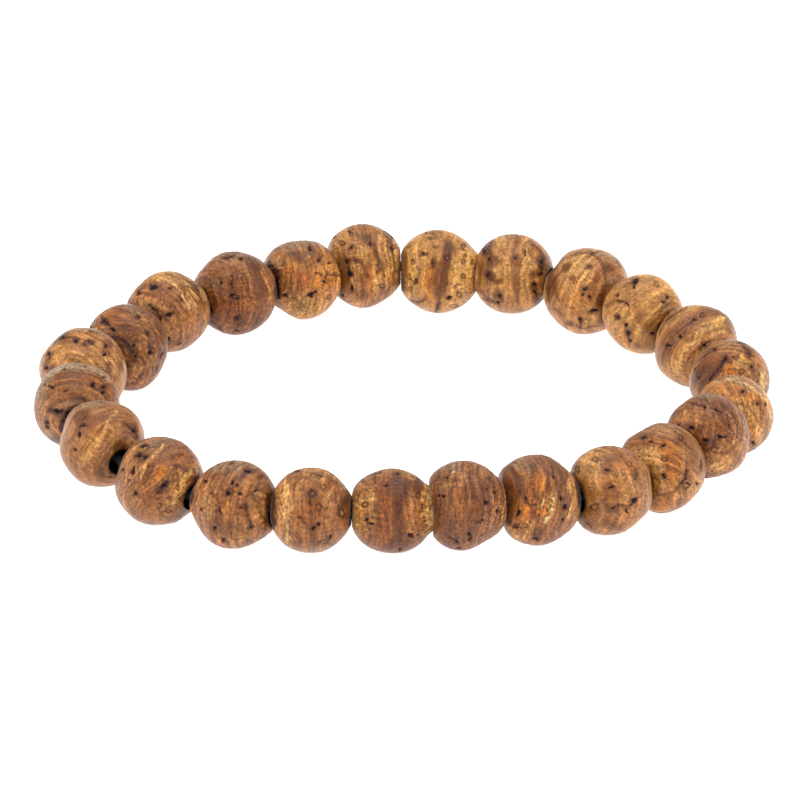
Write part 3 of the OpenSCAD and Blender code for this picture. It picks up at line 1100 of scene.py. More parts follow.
# Bead 10: broad slanting stripes, gold and brown by turns, with a dark whorl near the next bead.
carve_bead(
    10,
    wood=("straw", "honey", "chestnut"),
    grain=(0, 0.001, 0.2),
    stains=[
        ("honey", 0.8, 675, 318, 16, 4, -35), ("umber", 0.75, 668, 344, 5, 12, 20),
        ("umber", 0.75, 680, 333, 6, 6), ("umber", 0.7, 696, 319, 9, 5, -20),
        ("plum", 0.6, 712, 312, 9, 4, 10), ("straw", 0.6, 722, 325, 12, 7, -30),
        ("umber", 0.85, 704, 344, 8, 5, -40), ("chestnut", 0.6, 715, 338, 12, 4, -10),
        ("honey", 0.6, 682, 365, 8, 12, 30), ("honey", 0.6, 698, 362, 8, 12, 30),
        # Painted sheen: the honey and straw ovals along the top edge, near 690 to 712, 306 to 312.
        ("honey", 0.7, 700, 308, 18, 3), ("honey", 0.6, 690, 312, 18, 6, -20),
        ("chestnut", 0.5, 728, 322, 6, 10, -30), ("tan", 0.5, 712, 340, 14, 5, -25),
        ("chestnut", 0.4, 690, 358, 6, 14, 15), ("straw", 0.6, 690, 309, 20, 6, -12),
        ("gold", 0.5, 676, 322, 10, 8, -45), ("umber", 0.5, 728, 320, 8, 10, -35),
        ("honey", 0.6, 712, 326, 10, 5, -20), ("straw", 0.6, 698, 306, 14, 3.5),
    ],
    bands=[
        ("chestnut", 0.7, 15, (664, 355), (672, 338), (690, 322), (712, 312)),
        ("straw", 0.9, 6, (676, 370), (686, 350), (698, 334), (722, 320)),
        ("chestnut", 0.4, 2, (684, 362), (694, 344), (706, 334)),
        ("straw", 0.5, 3, (722, 332), (712, 335), (700, 348)),
    ],
    rings=[(702, 315, 2.5, 2)],
    cracks=[(2, (659, 331), (662, 324), (668, 319), (680, 311), (686, 308)), (1.2, (700, 350), (708, 341))],
    pits=[(668, 344, 2, 1.5), (679, 337, 1.5, 2), (695, 320, 1.5, 1.2), (704, 345, 2.5, 1.8, -40)],
    dents=[(-0.0002, 728, 318, 28), (-0.0002, 664, 366, 24)],
)

# Bead 11: golden tan, with a black hole near its top, and an oval lobe with pits at its lower left.
carve_bead(
    11,
    wood=("straw", "gold", "tan"),
    grain=(15, 0.0012, 0.22),
    stains=[
        ("straw", 0.6, 665, 285, 14, 9), ("tan", 0.75, 632, 300, 9, 14, -20),
        ("chestnut", 0.55, 643, 322, 8, 14, -25), ("umber", 0.5, 655, 335, 8, 10, -40),
        ("honey", 0.8, 618, 318, 12, 14, -15), ("umber", 0.6, 666, 299, 5, 4),
        ("orange", 0.4, 622, 335, 10, 12, -30), ("umber", 0.55, 627, 330, 4, 10, -20),
        ("chestnut", 0.6, 648, 345, 8, 6), ("tan", 0.6, 620, 286, 10, 5, -35),
        ("umber", 0.5, 636, 346, 4, 3), ("tan", 0.5, 668, 312, 9, 6, -25),
        ("gold", 0.5, 618, 322, 11, 16, -20), ("honey", 0.6, 648, 279, 10, 4),
        ("umber", 0.6, 659, 335, 5, 14, 20), ("gold", 0.5, 652, 312, 8, 14, -30),
        ("straw", 0.5, 650, 278, 12, 5), ("honey", 0.5, 665, 300, 5, 7, -30), ("tan", 0.4, 612, 305, 5, 12),
        ("straw", 0.6, 648, 278, 11, 4), ("tan", 0.5, 645, 298, 5, 7),
    ],
    bands=[
        ("straw", 0.3, 3, (638, 290), (641, 303), (648, 315)),
        ("straw", 0.6, 3, (631, 310), (634, 320), (641, 330)),
        ("umber", 0.5, 2, (606, 306), (612, 301), (618, 301), (628, 306)),
        ("umber", 0.5, 2, (650, 318), (661, 308), (672, 302)),
        ("umber", 0.45, 2, (652, 326), (660, 316), (672, 309)),
        # Painted shade: these two bands, in the crevice along bead 10's edge.
        ("umber", 0.4, 5, (666, 314), (659, 325), (656, 345)),
        ("char", 0.8, 2.5, (657, 338), (660, 327), (667, 318), (680, 310)),
    ],
    rings=[(654.5, 284, 2.5, 2), (617, 317, 2, 3)],
    cracks=[
        (1.5, (633, 282.5), (626, 285)), (1.8, (618, 301), (623, 303), (628, 306)),
        (1.2, (616, 297), (619, 293)), (1.2, (624, 324), (627, 333), (629, 341)),
    ],
    pits=[
        (635.5, 281, 2.8, 3.2), (635, 287, 1.5, 2), (666.5, 297, 1.5, 2), (664, 302, 2, 1, 20),
        (617, 317, 1.5, 2), (626, 325, 1.5, 2), (628, 334, 1.5, 2.5), (630, 341, 1.5, 1.2),
        (653, 334, 2, 1.5), (617, 296, 1.5, 1.2),
    ],
    dents=[(0.00015, 611, 337, 24)],
)

# Bead 12: gold, with one big oval eye outlined in dark brown, and a few smudges inside it.
carve_bead(
    12,
    wood=("straw", "honey", "chestnut"),
    grain=(10, 0.0014, 0.2),
    stains=[
        ("straw", 0.6, 580, 268, 14, 12), ("umber", 0.75, 589, 267, 4.5, 3.5),
        ("umber", 0.6, 573, 278, 3.5, 3.5), ("umber", 0.85, 585, 289, 6, 4, -35),
        ("umber", 0.6, 566, 268, 3, 7, 35), ("tan", 0.6, 612, 275, 6, 18, -10),
        # Painted sheen: the grey oval at the top right.
        ("grey_and_sheen", 0.4, 605, 255, 14, 4, 25), ("umber", 0.6, 560, 300, 3, 3),
        ("umber", 0.85, 600, 300, 4, 12, 15), ("chestnut", 0.65, 555, 280, 5, 16),
        ("tan", 0.6, 575, 310, 16, 6, 10), ("tan", 0.6, 595, 318, 9, 8),
        ("umber", 0.7, 607, 266, 5, 7, -25), ("orange", 0.35, 575, 300, 12, 6),
        ("gold", 0.5, 590, 322, 8, 5), ("umber", 0.25, 612, 277, 8, 7, -20),
        ("umber", 0.55, 552, 285, 4, 14, 5), ("gold", 0.4, 578, 290, 14, 14),
        ("umber", 0.7, 573, 278, 3, 2.5), ("umber", 0.75, 589, 267, 3.5, 2.5),
        ("umber", 0.6, 566, 268, 2.5, 6, 35), ("straw", 0.5, 590, 320, 5, 4), ("gold", 0.4, 601, 272, 3, 7),
        ("umber", 0.6, 604, 316, 3, 8),
    ],
    bands=[
        ("umber", 0.6, 2.5, (560, 262), (570, 254), (582, 252), (592, 253)),
        ("umber", 0.65, 2.5, (592, 253), (600, 259), (604, 270), (605, 282)),
        ("russet", 0.75, 5, (598, 272), (595, 284), (590, 298)),
        ("umber", 0.7, 4, (605, 285), (601, 296), (597, 306)),
        ("umber", 0.5, 2.5, (554, 282), (556, 294), (560, 302)),
        ("umber", 0.6, 2.5, (553, 308), (559, 311), (562, 315)),
        ("umber", 0.6, 2, (566, 322), (576, 326), (586, 328), (597, 326)),
        # Painted shade: the walnut band at the left edge, in the crevice beside bead 13.
        ("umber", 0.6, 2, (617, 258), (619, 266)), ("walnut", 0.7, 4, (553, 268), (548, 285), (548, 300)),
        ("umber", 0.6, 6, (607, 285), (603, 300), (602, 320)),
    ],
    cracks=[(1.5, (588, 312), (597, 310)), (1.5, (580, 318), (581, 326)), (1, (566, 323), (571, 325))],
    pits=[
        (594, 311, 2.8, 1.4), (580, 319, 1.8, 2.5), (585, 289, 2.5, 1.6, -35), (590, 267, 1.6, 1.3),
        (583, 295, 1.2, 1.2), (590, 297, 1.2, 2),
    ],
    dents=[
        (0.0002, 556, 262, 22), (-0.0001, 554, 318, 24), (-0.00015, 618, 258, 26), (0.0002, 553, 264, 18),
        (0.00015, 541, 284, 24),
    ],
)

# Bead 13, back right of the middle: upright gold and brown columns, with dark blots at both sides.
carve_bead(
    13,
    wood=("straw", "honey", "chestnut"),
    grain=(0, 0.0012, 0.2),
    stains=[
        ("straw", 0.6, 505, 240, 10, 8), ("gold", 0.7, 504, 266, 6, 28, 5),
        ("chestnut", 0.7, 516, 240, 5, 8), ("umber", 0.6, 516, 261, 6, 6), ("umber", 0.6, 517, 288, 5, 9),
        ("gold", 0.8, 527, 285, 6, 26), ("walnut", 0.75, 487, 250, 5, 7, -30),
        ("chestnut", 0.6, 488, 268, 8, 8), ("walnut", 0.7, 496, 261, 7, 5, 20),
        ("walnut", 0.8, 490, 276, 6, 5, 40), ("umber", 0.75, 499, 281, 5, 3.5),
        ("walnut", 0.7, 499, 296, 5, 7), ("walnut", 0.75, 541, 263, 5, 9, -15),
        ("umber", 0.75, 535, 274, 7, 4), ("walnut", 0.5, 535, 288, 4, 7, 10),
        ("walnut", 0.7, 538, 298, 4, 5), ("umber", 0.6, 493, 243, 4, 4), ("umber", 0.25, 482, 275, 4, 20),
        ("chestnut", 0.6, 516, 303, 5, 7), ("straw", 0.5, 500, 270, 4, 8, -20),
        ("straw", 0.5, 527, 262, 4, 24), ("straw", 0.4, 505, 262, 4, 16), ("honey", 0.5, 541, 284, 3, 9),
        ("honey", 0.5, 546, 268, 3, 7), ("umber", 0.7, 493, 265, 3.5, 3.5),
        ("chestnut", 0.5, 503, 273, 3, 5), ("umber", 0.5, 513, 276, 3.5, 8),
        ("chestnut", 0.4, 505, 251, 7, 4), ("tan", 0.5, 545, 281, 4, 10), ("gold", 0.4, 515, 306, 12, 4),
    ],
    bands=[
        ("walnut", 0.6, 3, (532, 243), (540, 250), (544, 258)),
        ("umber", 0.7, 3, (480, 290), (488, 299), (498, 305)), ("umber", 0.3, 3, (478, 262), (479, 290)),
    ],
    cracks=[(1.5, (488, 272), (489, 278)), (1.5, (536, 291), (538, 297)), (1, (484, 298), (494, 304))],
    pits=[
        (488, 275, 1.6, 2.5), (490, 259, 1.8, 1.5), (500, 296, 1.3, 2.5), (542, 262, 1.4, 2.5),
        (535, 285, 1.8, 2.5), (535, 293, 1.6, 1.8), (541, 274, 1.5, 1.3), (497, 303, 1.5, 1),
        (526, 253, 0.8, 2), (515, 258, 1, 1), (484, 251, 1.5, 1.5),
    ],
    dents=[(0.0002, 541, 300, 26), (0.00015, 515, 313, 34), (-0.0001, 495, 240, 28)],
)

# Bead 14, back middle: the lightest, golden yellow and full of small ringed eyes, with one dark stripe.
carve_bead(
    14,
    wood=("straw", "gold", "tan"),
    grain=(0, 0.0014, 0.15),
    stains=[
        ("orange", 0.5, 431, 275, 7, 28, 5), ("gold", 0.8, 412, 268, 9, 28),
        ("straw", 0.55, 463, 268, 9, 28), ("russet", 0.7, 442, 270, 6, 24, 3),
        ("umber", 0.75, 449, 250, 7, 8), ("tan", 0.6, 427, 303, 14, 6, 15), ("umber", 0.7, 403, 265, 4, 26),
        ("russet", 0.5, 433, 280, 4, 8, 30), ("tan", 0.5, 442, 237, 12, 5), ("honey", 0.5, 437, 236, 14, 4),
        ("gold", 0.6, 433, 257, 6, 7), ("straw", 0.4, 418, 277, 6, 8), ("gold", 0.7, 433, 257, 5, 5),
        ("straw", 0.6, 451, 256, 2.5, 5), ("gold", 0.5, 463, 243, 3, 3), ("tan", 0.4, 440, 252, 3, 4),
    ],
    bands=[
        ("umber", 0.8, 10, (449, 244), (446, 256), (443, 268), (442, 280), (440, 292)),
        ("umber", 0.55, 4, (441, 290), (438, 303), (437, 312)), ("russet", 0.5, 3, (428, 288), (436, 282)),
        ("umber", 0.7, 4, (402, 246), (401, 268), (403, 292)),
    ],
    rings=[
        (424, 253, 3, 2), (413, 261, 2, 2.5), (430, 239, 2, 1.5), (435, 247, 2.5, 1.5), (410, 246, 2, 1.5),
        (433.5, 263, 2.2, 3.5), (409, 277, 1.8, 2.5), (416, 282, 2, 2.5), (404, 288, 2, 1.5),
        (410, 288, 2, 1.5), (463, 247, 1.8, 2.5), (464, 256, 1.8, 1.8), (464, 262, 1.8, 1.8),
        (472, 262, 1.5, 2.5), (464, 277, 2.3, 2.3), (457, 286, 2.2, 1.5), (459, 295, 2.6, 2.6),
        (455, 306, 3.5, 1.5), (432, 233, 2, 1.3), (445, 258, 2, 2),
    ],
    cracks=[(1.5, (411, 301), (417, 303), (421, 301), (425, 297)), (1.5, (438, 303), (437, 312))],
    pits=[
        (449, 298, 2.5, 1.5, -10), (433, 262, 1.2, 2.2, -20), (424, 253, 1.2, 1), (426, 233, 1.5, 1, -40),
        (416, 282, 1, 2),
    ],
    dents=[(-0.0001, 410, 240, 28), (-0.0001, 402, 290, 24), (0.0001, 462, 240, 34)],
)

# Bead 15, back left of the middle: a dark loop round a golden heart, and bent stripes right of it.
carve_bead(
    15,
    wood=("straw", "honey", "chestnut"),
    grain=(0, 0.001, 0.2),
    stains=[
        ("honey", 0.85, 354, 245, 8, 12), ("honey", 0.85, 356, 275, 5, 9),
        ("umber", 0.7, 367, 235, 8, 9, -30), ("plum", 0.55, 362, 228, 12, 4),
        ("orange", 0.7, 372, 278, 5, 22), ("russet", 0.7, 364, 279, 5, 6), ("umber", 0.6, 362, 293, 7, 6),
        # Painted shade: the umber oval near 342, 275, at the left end behind bead 16.
        ("straw", 0.55, 392, 235, 6, 10, -30), ("umber", 0.8, 342, 275, 5, 24),
        ("orange", 0.7, 391, 268, 4, 20), ("umber", 0.5, 384, 290, 5, 6),
        ("honey", 0.6, 337, 245, 6, 10, 20), ("straw", 0.5, 364, 250, 5, 4),
        # Partly the bead's own straw strip and partly painted highlight against the shade: the straw ovals
        # at the right end, near 391 to 396, 258 to 262.
        ("straw", 0.7, 391, 258, 3.5, 14), ("gold", 0.6, 357, 254, 6, 5), ("honey", 0.6, 366, 230, 14, 4),
        ("umber", 0.5, 368, 266, 4, 5), ("char", 0.6, 349, 275, 3, 4), ("walnut", 0.6, 351, 291, 4, 4),
        ("straw", 0.8, 392, 262, 4, 14), ("gold", 0.7, 356, 270, 4, 5), ("gold", 0.6, 336, 246, 3, 6, 20),
        ("umber", 0.6, 352, 252, 4, 3), ("gold", 0.6, 351, 230, 4, 3), ("walnut", 0.6, 349, 281, 2.5, 4),
        ("straw", 0.6, 393, 260, 3.5, 20), ("honey", 0.6, 372, 228, 6, 3),
        ("gold", 0.6, 335, 244, 3, 6, 20), ("orange", 0.4, 378, 272, 2.5, 6),
        ("umber", 0.5, 350, 262, 3, 2.5), ("straw", 0.7, 396, 262, 3, 20),
    ],
    bands=[
        ("umber", 0.85, 4, (347, 262), (353, 259), (360, 262), (365, 268), (367, 276)),
        ("umber", 0.8, 6, (369, 237), (373, 247), (377, 260), (379, 270)),
        ("chestnut", 0.6, 3, (383, 245), (385, 262), (384, 285)),
        ("straw", 0.7, 3, (375, 262), (375, 280), (374, 298)),
        ("straw", 0.7, 3, (386, 246), (388, 268), (386, 288)),
        ("umber", 0.6, 2, (391, 240), (394, 262), (393, 285)),
    ],
    rings=[(341, 243, 2.5, 2.5), (393, 248, 2, 2.5), (350, 234, 2.5, 1.5), (381, 286, 1.8, 1.8)],
    cracks=[(2, (377, 226), (383, 230), (391, 238)), (1.5, (349, 262), (348, 270), (350, 276))],
    pits=[
        (333, 237, 2, 1.2, -40), (348, 231, 1.5, 1), (351, 247, 2.5, 2, -30), (349, 274, 1.8, 2.8),
        (351, 287, 1.5, 2.5), (343, 295, 1.2, 2), (346, 262, 1.3, 2), (370, 243, 1.5, 1.5),
    ],
    dents=[(0.0003, 383, 300, 28), (-0.00025, 338, 238, 30)],
)

# Bead 16: rough and reddish on the left, smooth and golden orange on the right.
carve_bead(
    16,
    wood=("gold", "tan", "chestnut"),
    grain=(10, 0.001, 0.24),
    stains=[
        # Painted sheen: the grey oval along the top.
        ("grey_and_sheen", 0.55, 295, 245, 20, 5, -8), ("umber", 0.65, 282, 270, 8, 12),
        ("orange", 0.5, 292, 270, 7, 14), ("orange", 0.55, 325, 285, 14, 28),
        ("honey", 0.75, 327, 300, 13, 11), ("russet", 0.7, 303, 280, 8, 12),
        ("umber", 0.6, 294, 256, 9, 4, 10), ("straw", 0.35, 301, 266, 5, 3, 20),
        ("umber", 0.55, 302, 256, 14, 5), ("chestnut", 0.6, 284, 290, 8, 8), ("gold", 0.7, 305, 303, 14, 8),
        ("tan", 0.6, 318, 262, 8, 6), ("straw", 0.5, 276, 262, 5, 7, 30), ("umber", 0.6, 311, 249, 4, 5),
        ("umber", 0.4, 331, 264, 4, 2), ("honey", 0.5, 300, 311, 16, 5, 5), ("umber", 0.5, 306, 262, 9, 7),
        ("gold", 0.8, 308, 309, 20, 9), ("gold", 0.4, 332, 268, 8, 5), ("umber", 0.5, 310, 254, 5, 4),
        ("gold", 0.6, 300, 302, 8, 7), ("gold", 0.6, 339, 278, 3, 13), ("honey", 0.5, 318, 248, 7, 4),
        ("honey", 0.4, 290, 303, 7, 6), ("chestnut", 0.5, 274, 254, 5, 7, 30),
    ],
    bands=[
        ("straw", 0.6, 1.8, (272, 270), (277, 261), (280, 256)),
        ("straw", 0.5, 1.8, (304, 259), (309, 257)), ("straw", 0.5, 2, (284, 291), (290, 296)),
        # Painted shade: the char band at the left edge, in the crevice beside bead 17.
        ("straw", 0.55, 2, (307, 290), (308, 302)), ("char", 0.85, 5, (270, 264), (276, 278), (279, 296)),
    ],
    rings=[(329, 297, 2, 2), (319.5, 259, 2, 2.5), (286, 294, 2.2, 1.5)],
    cracks=[
        (1, (314, 273), (320, 275), (326, 277)), (0.8, (328, 276), (337, 275)), (1, (270, 268), (276, 264)),
    ],
    pits=[
        (310, 250, 1.6, 2.5), (319, 260, 1.2, 1.8), (311, 296, 2.8, 2.2, -20), (315, 293, 1.5, 1.3),
        (325, 282, 2, 1.3), (330, 264, 1.5, 1), (285, 294, 1.5, 1), (277, 272, 1.2, 1.2),
        (326, 278, 1.5, 1),
    ],
    dents=[
        (-0.0002, 322, 247, 24), (0.0004, 281, 312, 26), (-0.0004, 341, 280, 26), (0.00015, 295, 242, 24),
    ],
)

# Bead 17: the darkest, reddish brown, with a light arc over a pit and its crack.
carve_bead(
    17,
    wood=("tan", "chestnut", "umber"),
    grain=(0, 0.0012, 0.26),
    stains=[
        # Painted sheen: the grey oval along the top. Painted shade: the umber oval near 212, 295, at the
        # left end.
        ("grey_and_sheen", 0.55, 232, 258, 22, 6), ("umber", 0.6, 212, 295, 11, 26),
        ("russet", 0.5, 240, 290, 16, 24), ("plum", 0.65, 258, 288, 5, 16, -10),
        ("plum", 0.6, 245, 322, 20, 9), ("tan", 0.45, 247, 288, 7, 16, -10), ("umber", 0.6, 226, 278, 8, 9),
        ("tan", 0.6, 272, 295, 4, 20), ("umber", 0.6, 252, 262, 9, 5, 30), ("tan", 0.4, 248, 304, 10, 3),
        # Painted shade: the umber oval near 208, 304 at the left end, and the char oval near 276, 285 in
        # the crevice beside bead 16.
        ("russet", 0.5, 228, 305, 9, 10), ("umber", 0.35, 208, 304, 8, 14),
        ("char", 0.6, 276, 285, 2.5, 18), ("tan", 0.4, 215, 280, 14, 20), ("tan", 0.4, 232, 328, 10, 4),
        ("umber", 0.4, 243, 298, 3, 5), ("umber", 0.35, 225, 270, 4, 3),
    ],
    bands=[
        ("tan", 0.8, 4, (212, 268), (222, 263), (238, 264), (247, 272), (252, 284)),
        ("honey", 0.8, 2.5, (261, 271), (266, 280), (270, 292), (270, 302)),
        ("umber", 0.5, 3, (255, 268), (260, 280), (262, 295)),
        ("umber", 0.4, 2, (242, 270), (248, 284), (252, 300)),
    ],
    rings=[(237, 317, 3, 2.2), (236, 297, 2.5, 2.5)],
    cracks=[
        (2, (222, 259), (228, 258), (233, 257)), (1.5, (238, 253), (242, 252)),
        (1.5, (231, 276), (232, 286), (233, 292)), (1, (212, 321), (218, 326), (224, 331)),
        (1, (220, 279), (220, 284)),
    ],
    pits=[
        (233.5, 294.5, 2.5, 2.2), (241, 259, 1.8, 1.5), (237, 317, 1.6, 1.2), (238, 330, 1.8, 0.8),
        (220, 283, 1.2, 1.5), (211, 310, 1.8, 2.5), (237, 298, 1.3, 1),
    ],
    dents=[
        (0.0002, 212, 328, 24), (0.0003, 203, 268, 30), (-0.0001, 268, 318, 20), (0.00015, 235, 252, 30),
    ],
)

# Bead 18: golden and speckled, with thin dark arcs on the right and a grey scar in the middle.
carve_bead(
    18,
    wood=("honey", "fawn", "umber"),
    grain=(-10, 0.0009, 0.32),
    stains=[
        ("honey", 0.7, 155, 277, 18, 5, -10), ("chestnut", 0.8, 158, 293, 14, 5, -15),
        ("umber", 0.75, 183, 299, 5, 5), ("umber", 0.7, 190, 311, 4, 6),
        ("umber", 0.6, 175, 288, 6, 3, -10), ("honey", 0.55, 152, 305, 14, 7, 10),
        ("orange", 0.4, 190, 325, 10, 12), ("honey", 0.75, 204, 318, 4, 14, 10),
        ("umber", 0.55, 178, 343, 5, 3), ("tan", 0.5, 175, 325, 12, 12),
        ("umber", 0.6, 200, 290, 6, 16, -25), ("orange", 0.4, 145, 300, 9, 6),
        ("honey", 0.7, 172, 277, 26, 7, 8), ("honey", 0.6, 191, 299, 3.5, 13, -15),
        ("umber", 0.7, 185, 296, 3, 9, -20), ("chestnut", 0.5, 200, 314, 6, 13),
        ("straw", 0.6, 170, 275, 24, 6, 8), ("honey", 0.6, 140, 299, 12, 5, 20),
        ("straw", 0.6, 191, 299, 4, 13, -15), ("honey", 0.5, 203, 294, 3, 10, -15),
        ("umber", 0.75, 184, 298, 2, 7, -20), ("straw", 0.7, 203, 294, 2.5, 9, -15),
        ("gold", 0.6, 146, 304, 8, 4, 25), ("chestnut", 0.5, 175, 288, 8, 3, 10),
        ("honey", 0.5, 201, 326, 4, 4), ("umber", 0.8, 186, 300, 2.5, 5, -15),
    ],
    bands=[
        ("straw", 0.8, 3, (158, 279), (172, 282), (181, 291), (188, 305)),
        ("umber", 0.6, 2, (165, 273), (180, 279), (190, 290), (198, 304)),
        ("umber", 0.3, 2, (172, 272), (186, 279), (197, 291), (204, 303)),
        ("straw", 0.6, 2, (176, 277), (188, 285), (197, 298)),
        ("umber", 0.7, 2.5, (152, 306), (160, 320), (166, 342)),
        ("chestnut", 0.6, 3, (182, 342), (195, 332), (203, 322)),
        ("straw", 0.5, 3, (165, 345), (167, 335), (163, 322)),
        ("umber", 0.2, 6, (150, 308), (160, 322), (166, 345)),
    ],
    rings=[(138, 292, 3, 1.8), (132, 300, 1.5, 2)],
    cracks=[(1, (150, 305), (157, 312), (161, 322)), (1.2, (162, 325), (166, 338))],
    pits=[
        (153.5, 287, 3, 1.8, -10), (138, 292, 1.8, 1), (169, 316, 4, 2, -25), (170, 337, 1.2, 2),
        (179, 344, 2.2, 1, -20), (170, 288, 1.5, 0.8), (183, 300, 1.2, 1.2),
    ],
    dents=[
        (0.00015, 138, 284, 28), (0.00012, 190, 281, 24), (0.00015, 196, 340, 24), (0.0001, 165, 272, 30),
    ],
)

# Bead 19: mid brown, with a black cleft from upper left to lower right and grain curved round it.
carve_bead(
    19,
    wood=("tan", "chestnut", "umber"),
    grain=(-20, 0.0008, 0.26),
    stains=[
        ("orange", 0.6, 110, 318, 11, 7, -30), ("umber", 0.6, 116, 318, 4, 5),
        # Painted sheen: the grey oval along the top.
        ("grey_and_sheen", 0.45, 135, 311, 14, 4, 25), ("umber", 0.6, 126, 325, 7, 5, 20),
        ("chestnut", 0.5, 140, 335, 10, 14, 20), ("honey", 0.75, 133, 373, 12, 6, -35),
        ("honey", 0.6, 104, 330, 9, 3, 10), ("umber", 0.5, 134, 352, 5, 9),
        ("russet", 0.6, 143, 350, 6, 12), ("orange", 0.4, 140, 382, 12, 4, -20),
        ("plum", 0.5, 157, 345, 6, 14), ("honey", 0.5, 144, 322, 4, 8, -40), ("tan", 0.5, 142, 340, 5, 12),
        ("umber", 0.5, 118, 366, 8, 13), ("tan", 0.6, 143, 348, 6, 14),
        ("umber", 0.4, 159, 330, 4, 18, -10), ("tan", 0.4, 105, 323, 6, 5),
        ("walnut", 0.5, 117, 362, 8, 16), ("tan", 0.6, 130, 354, 6, 6),
        ("walnut", 0.6, 113, 352, 4, 8, -20), ("walnut", 0.6, 119, 376, 6, 12, -20),
        ("honey", 0.4, 104, 323, 5, 5),
    ],
    bands=[
        ("char", 0.65, 4, (112, 338), (121, 339), (127, 345), (132, 352)),
        ("umber", 0.6, 5, (127, 375), (131, 362), (135, 352)),
        ("tan", 0.6, 3, (143, 318), (153, 335), (156, 352), (150, 370)),
        ("tan", 0.55, 2.5, (150, 320), (160, 335), (162, 350)),
        ("umber", 0.5, 2, (140, 320), (148, 336), (150, 352), (146, 368)),
        ("honey", 0.6, 2.5, (137, 376), (147, 366), (152, 352)),
    ],
    rings=[(147, 333, 2.5, 2.5), (137, 317, 2.5, 2), (105, 322, 2.8, 2.8)],
    cracks=[
        (3, (103, 319), (107, 324), (112, 331)), (2.5, (115, 338), (122, 340), (129, 347)),
        (1.8, (163, 351), (160, 359)), (1, (158, 366), (155, 372)),
    ],
    pits=[
        (104, 321, 2.2, 2.2), (112, 331, 3, 2, 20), (137, 317, 1.4, 1.2), (147, 333, 1.2, 1.5),
        (135, 357, 2.2, 2.2), (150, 353, 1.6, 2), (133, 346, 1.5, 1.5), (90, 327, 2, 1),
    ],
    dents=[(-0.0004, 140, 390, 36)],
)

# Bead 20: light gold with straight fine grain, and smudged knots along its top and right.
carve_bead(
    20,
    wood=("gold", "honey", "chestnut"),
    grain=(4, 0.0009, 0.24),
    stains=[
        ("gold", 0.3, 72, 351, 22, 8), ("umber", 0.8, 62, 338, 10, 4, -15), ("umber", 0.75, 76, 339, 4, 3),
        ("umber", 0.75, 89, 342, 6, 3.5), ("umber", 0.65, 106, 352, 5, 5), ("umber", 0.75, 111, 366, 5, 6),
        ("honey", 0.5, 117, 368, 4, 16, -15), ("umber", 0.65, 108, 343, 5, 4, 20),
        ("umber", 0.7, 49, 366, 6, 4, -20), ("tan", 0.6, 80, 364, 24, 5, 10),
        ("umber", 0.6, 121, 367, 2.5, 7, -15), ("umber", 0.6, 117, 379, 3, 4),
        # Painted sheen: the grey oval along the top.
        ("orange", 0.4, 85, 334, 16, 3, 5), ("grey_and_sheen", 0.5, 80, 330, 22, 3, 5), ("umber", 0.5, 50, 354, 3, 5),
        ("chestnut", 0.25, 76, 350, 10, 5), ("chestnut", 0.5, 50, 366, 6, 12),
        ("gold", 0.5, 72, 360, 20, 6), ("gold", 0.5, 80, 362, 22, 5), ("chestnut", 0.4, 72, 342, 18, 3),
        ("tan", 0.35, 85, 352, 22, 6), ("chestnut", 0.5, 112, 374, 6, 8, 30),
    ],
    bands=[
        # Painted sheen: the cream band along the right rim.
        ("cream_and_highlight", 0.45, 1.5, (112, 342), (120, 352), (126, 366), (125, 378)),
        ("umber", 0.6, 2, (116, 346), (122, 358), (124, 370)),
        ("chestnut", 0.4, 2.5, (58, 355), (80, 356), (98, 358)),
        ("straw", 0.6, 3, (106, 356), (114, 362), (117, 374)),
    ],
    rings=[(88.5, 342.5, 4, 2.5), (48, 357, 2.2, 2.2), (75, 338, 2.5, 2.2)],
    cracks=[(2, (104, 372), (109, 378)), (1.2, (121, 350), (124, 357)), (1.2, (90, 331), (97, 334))],
    pits=[
        (76, 340, 2, 1.6), (88.5, 342, 1.3, 1), (105, 353, 1.6, 1.5), (47, 368, 2.2, 1.3, -20),
        (62, 338, 3, 1.2, -10), (107, 345, 1.2, 1.6), (118, 394, 1.3, 1), (49, 353, 1.2, 1.8),
    ],
    dents=[(-0.00015, 40, 368, 26), (0.0002, 52, 341, 28)],
)

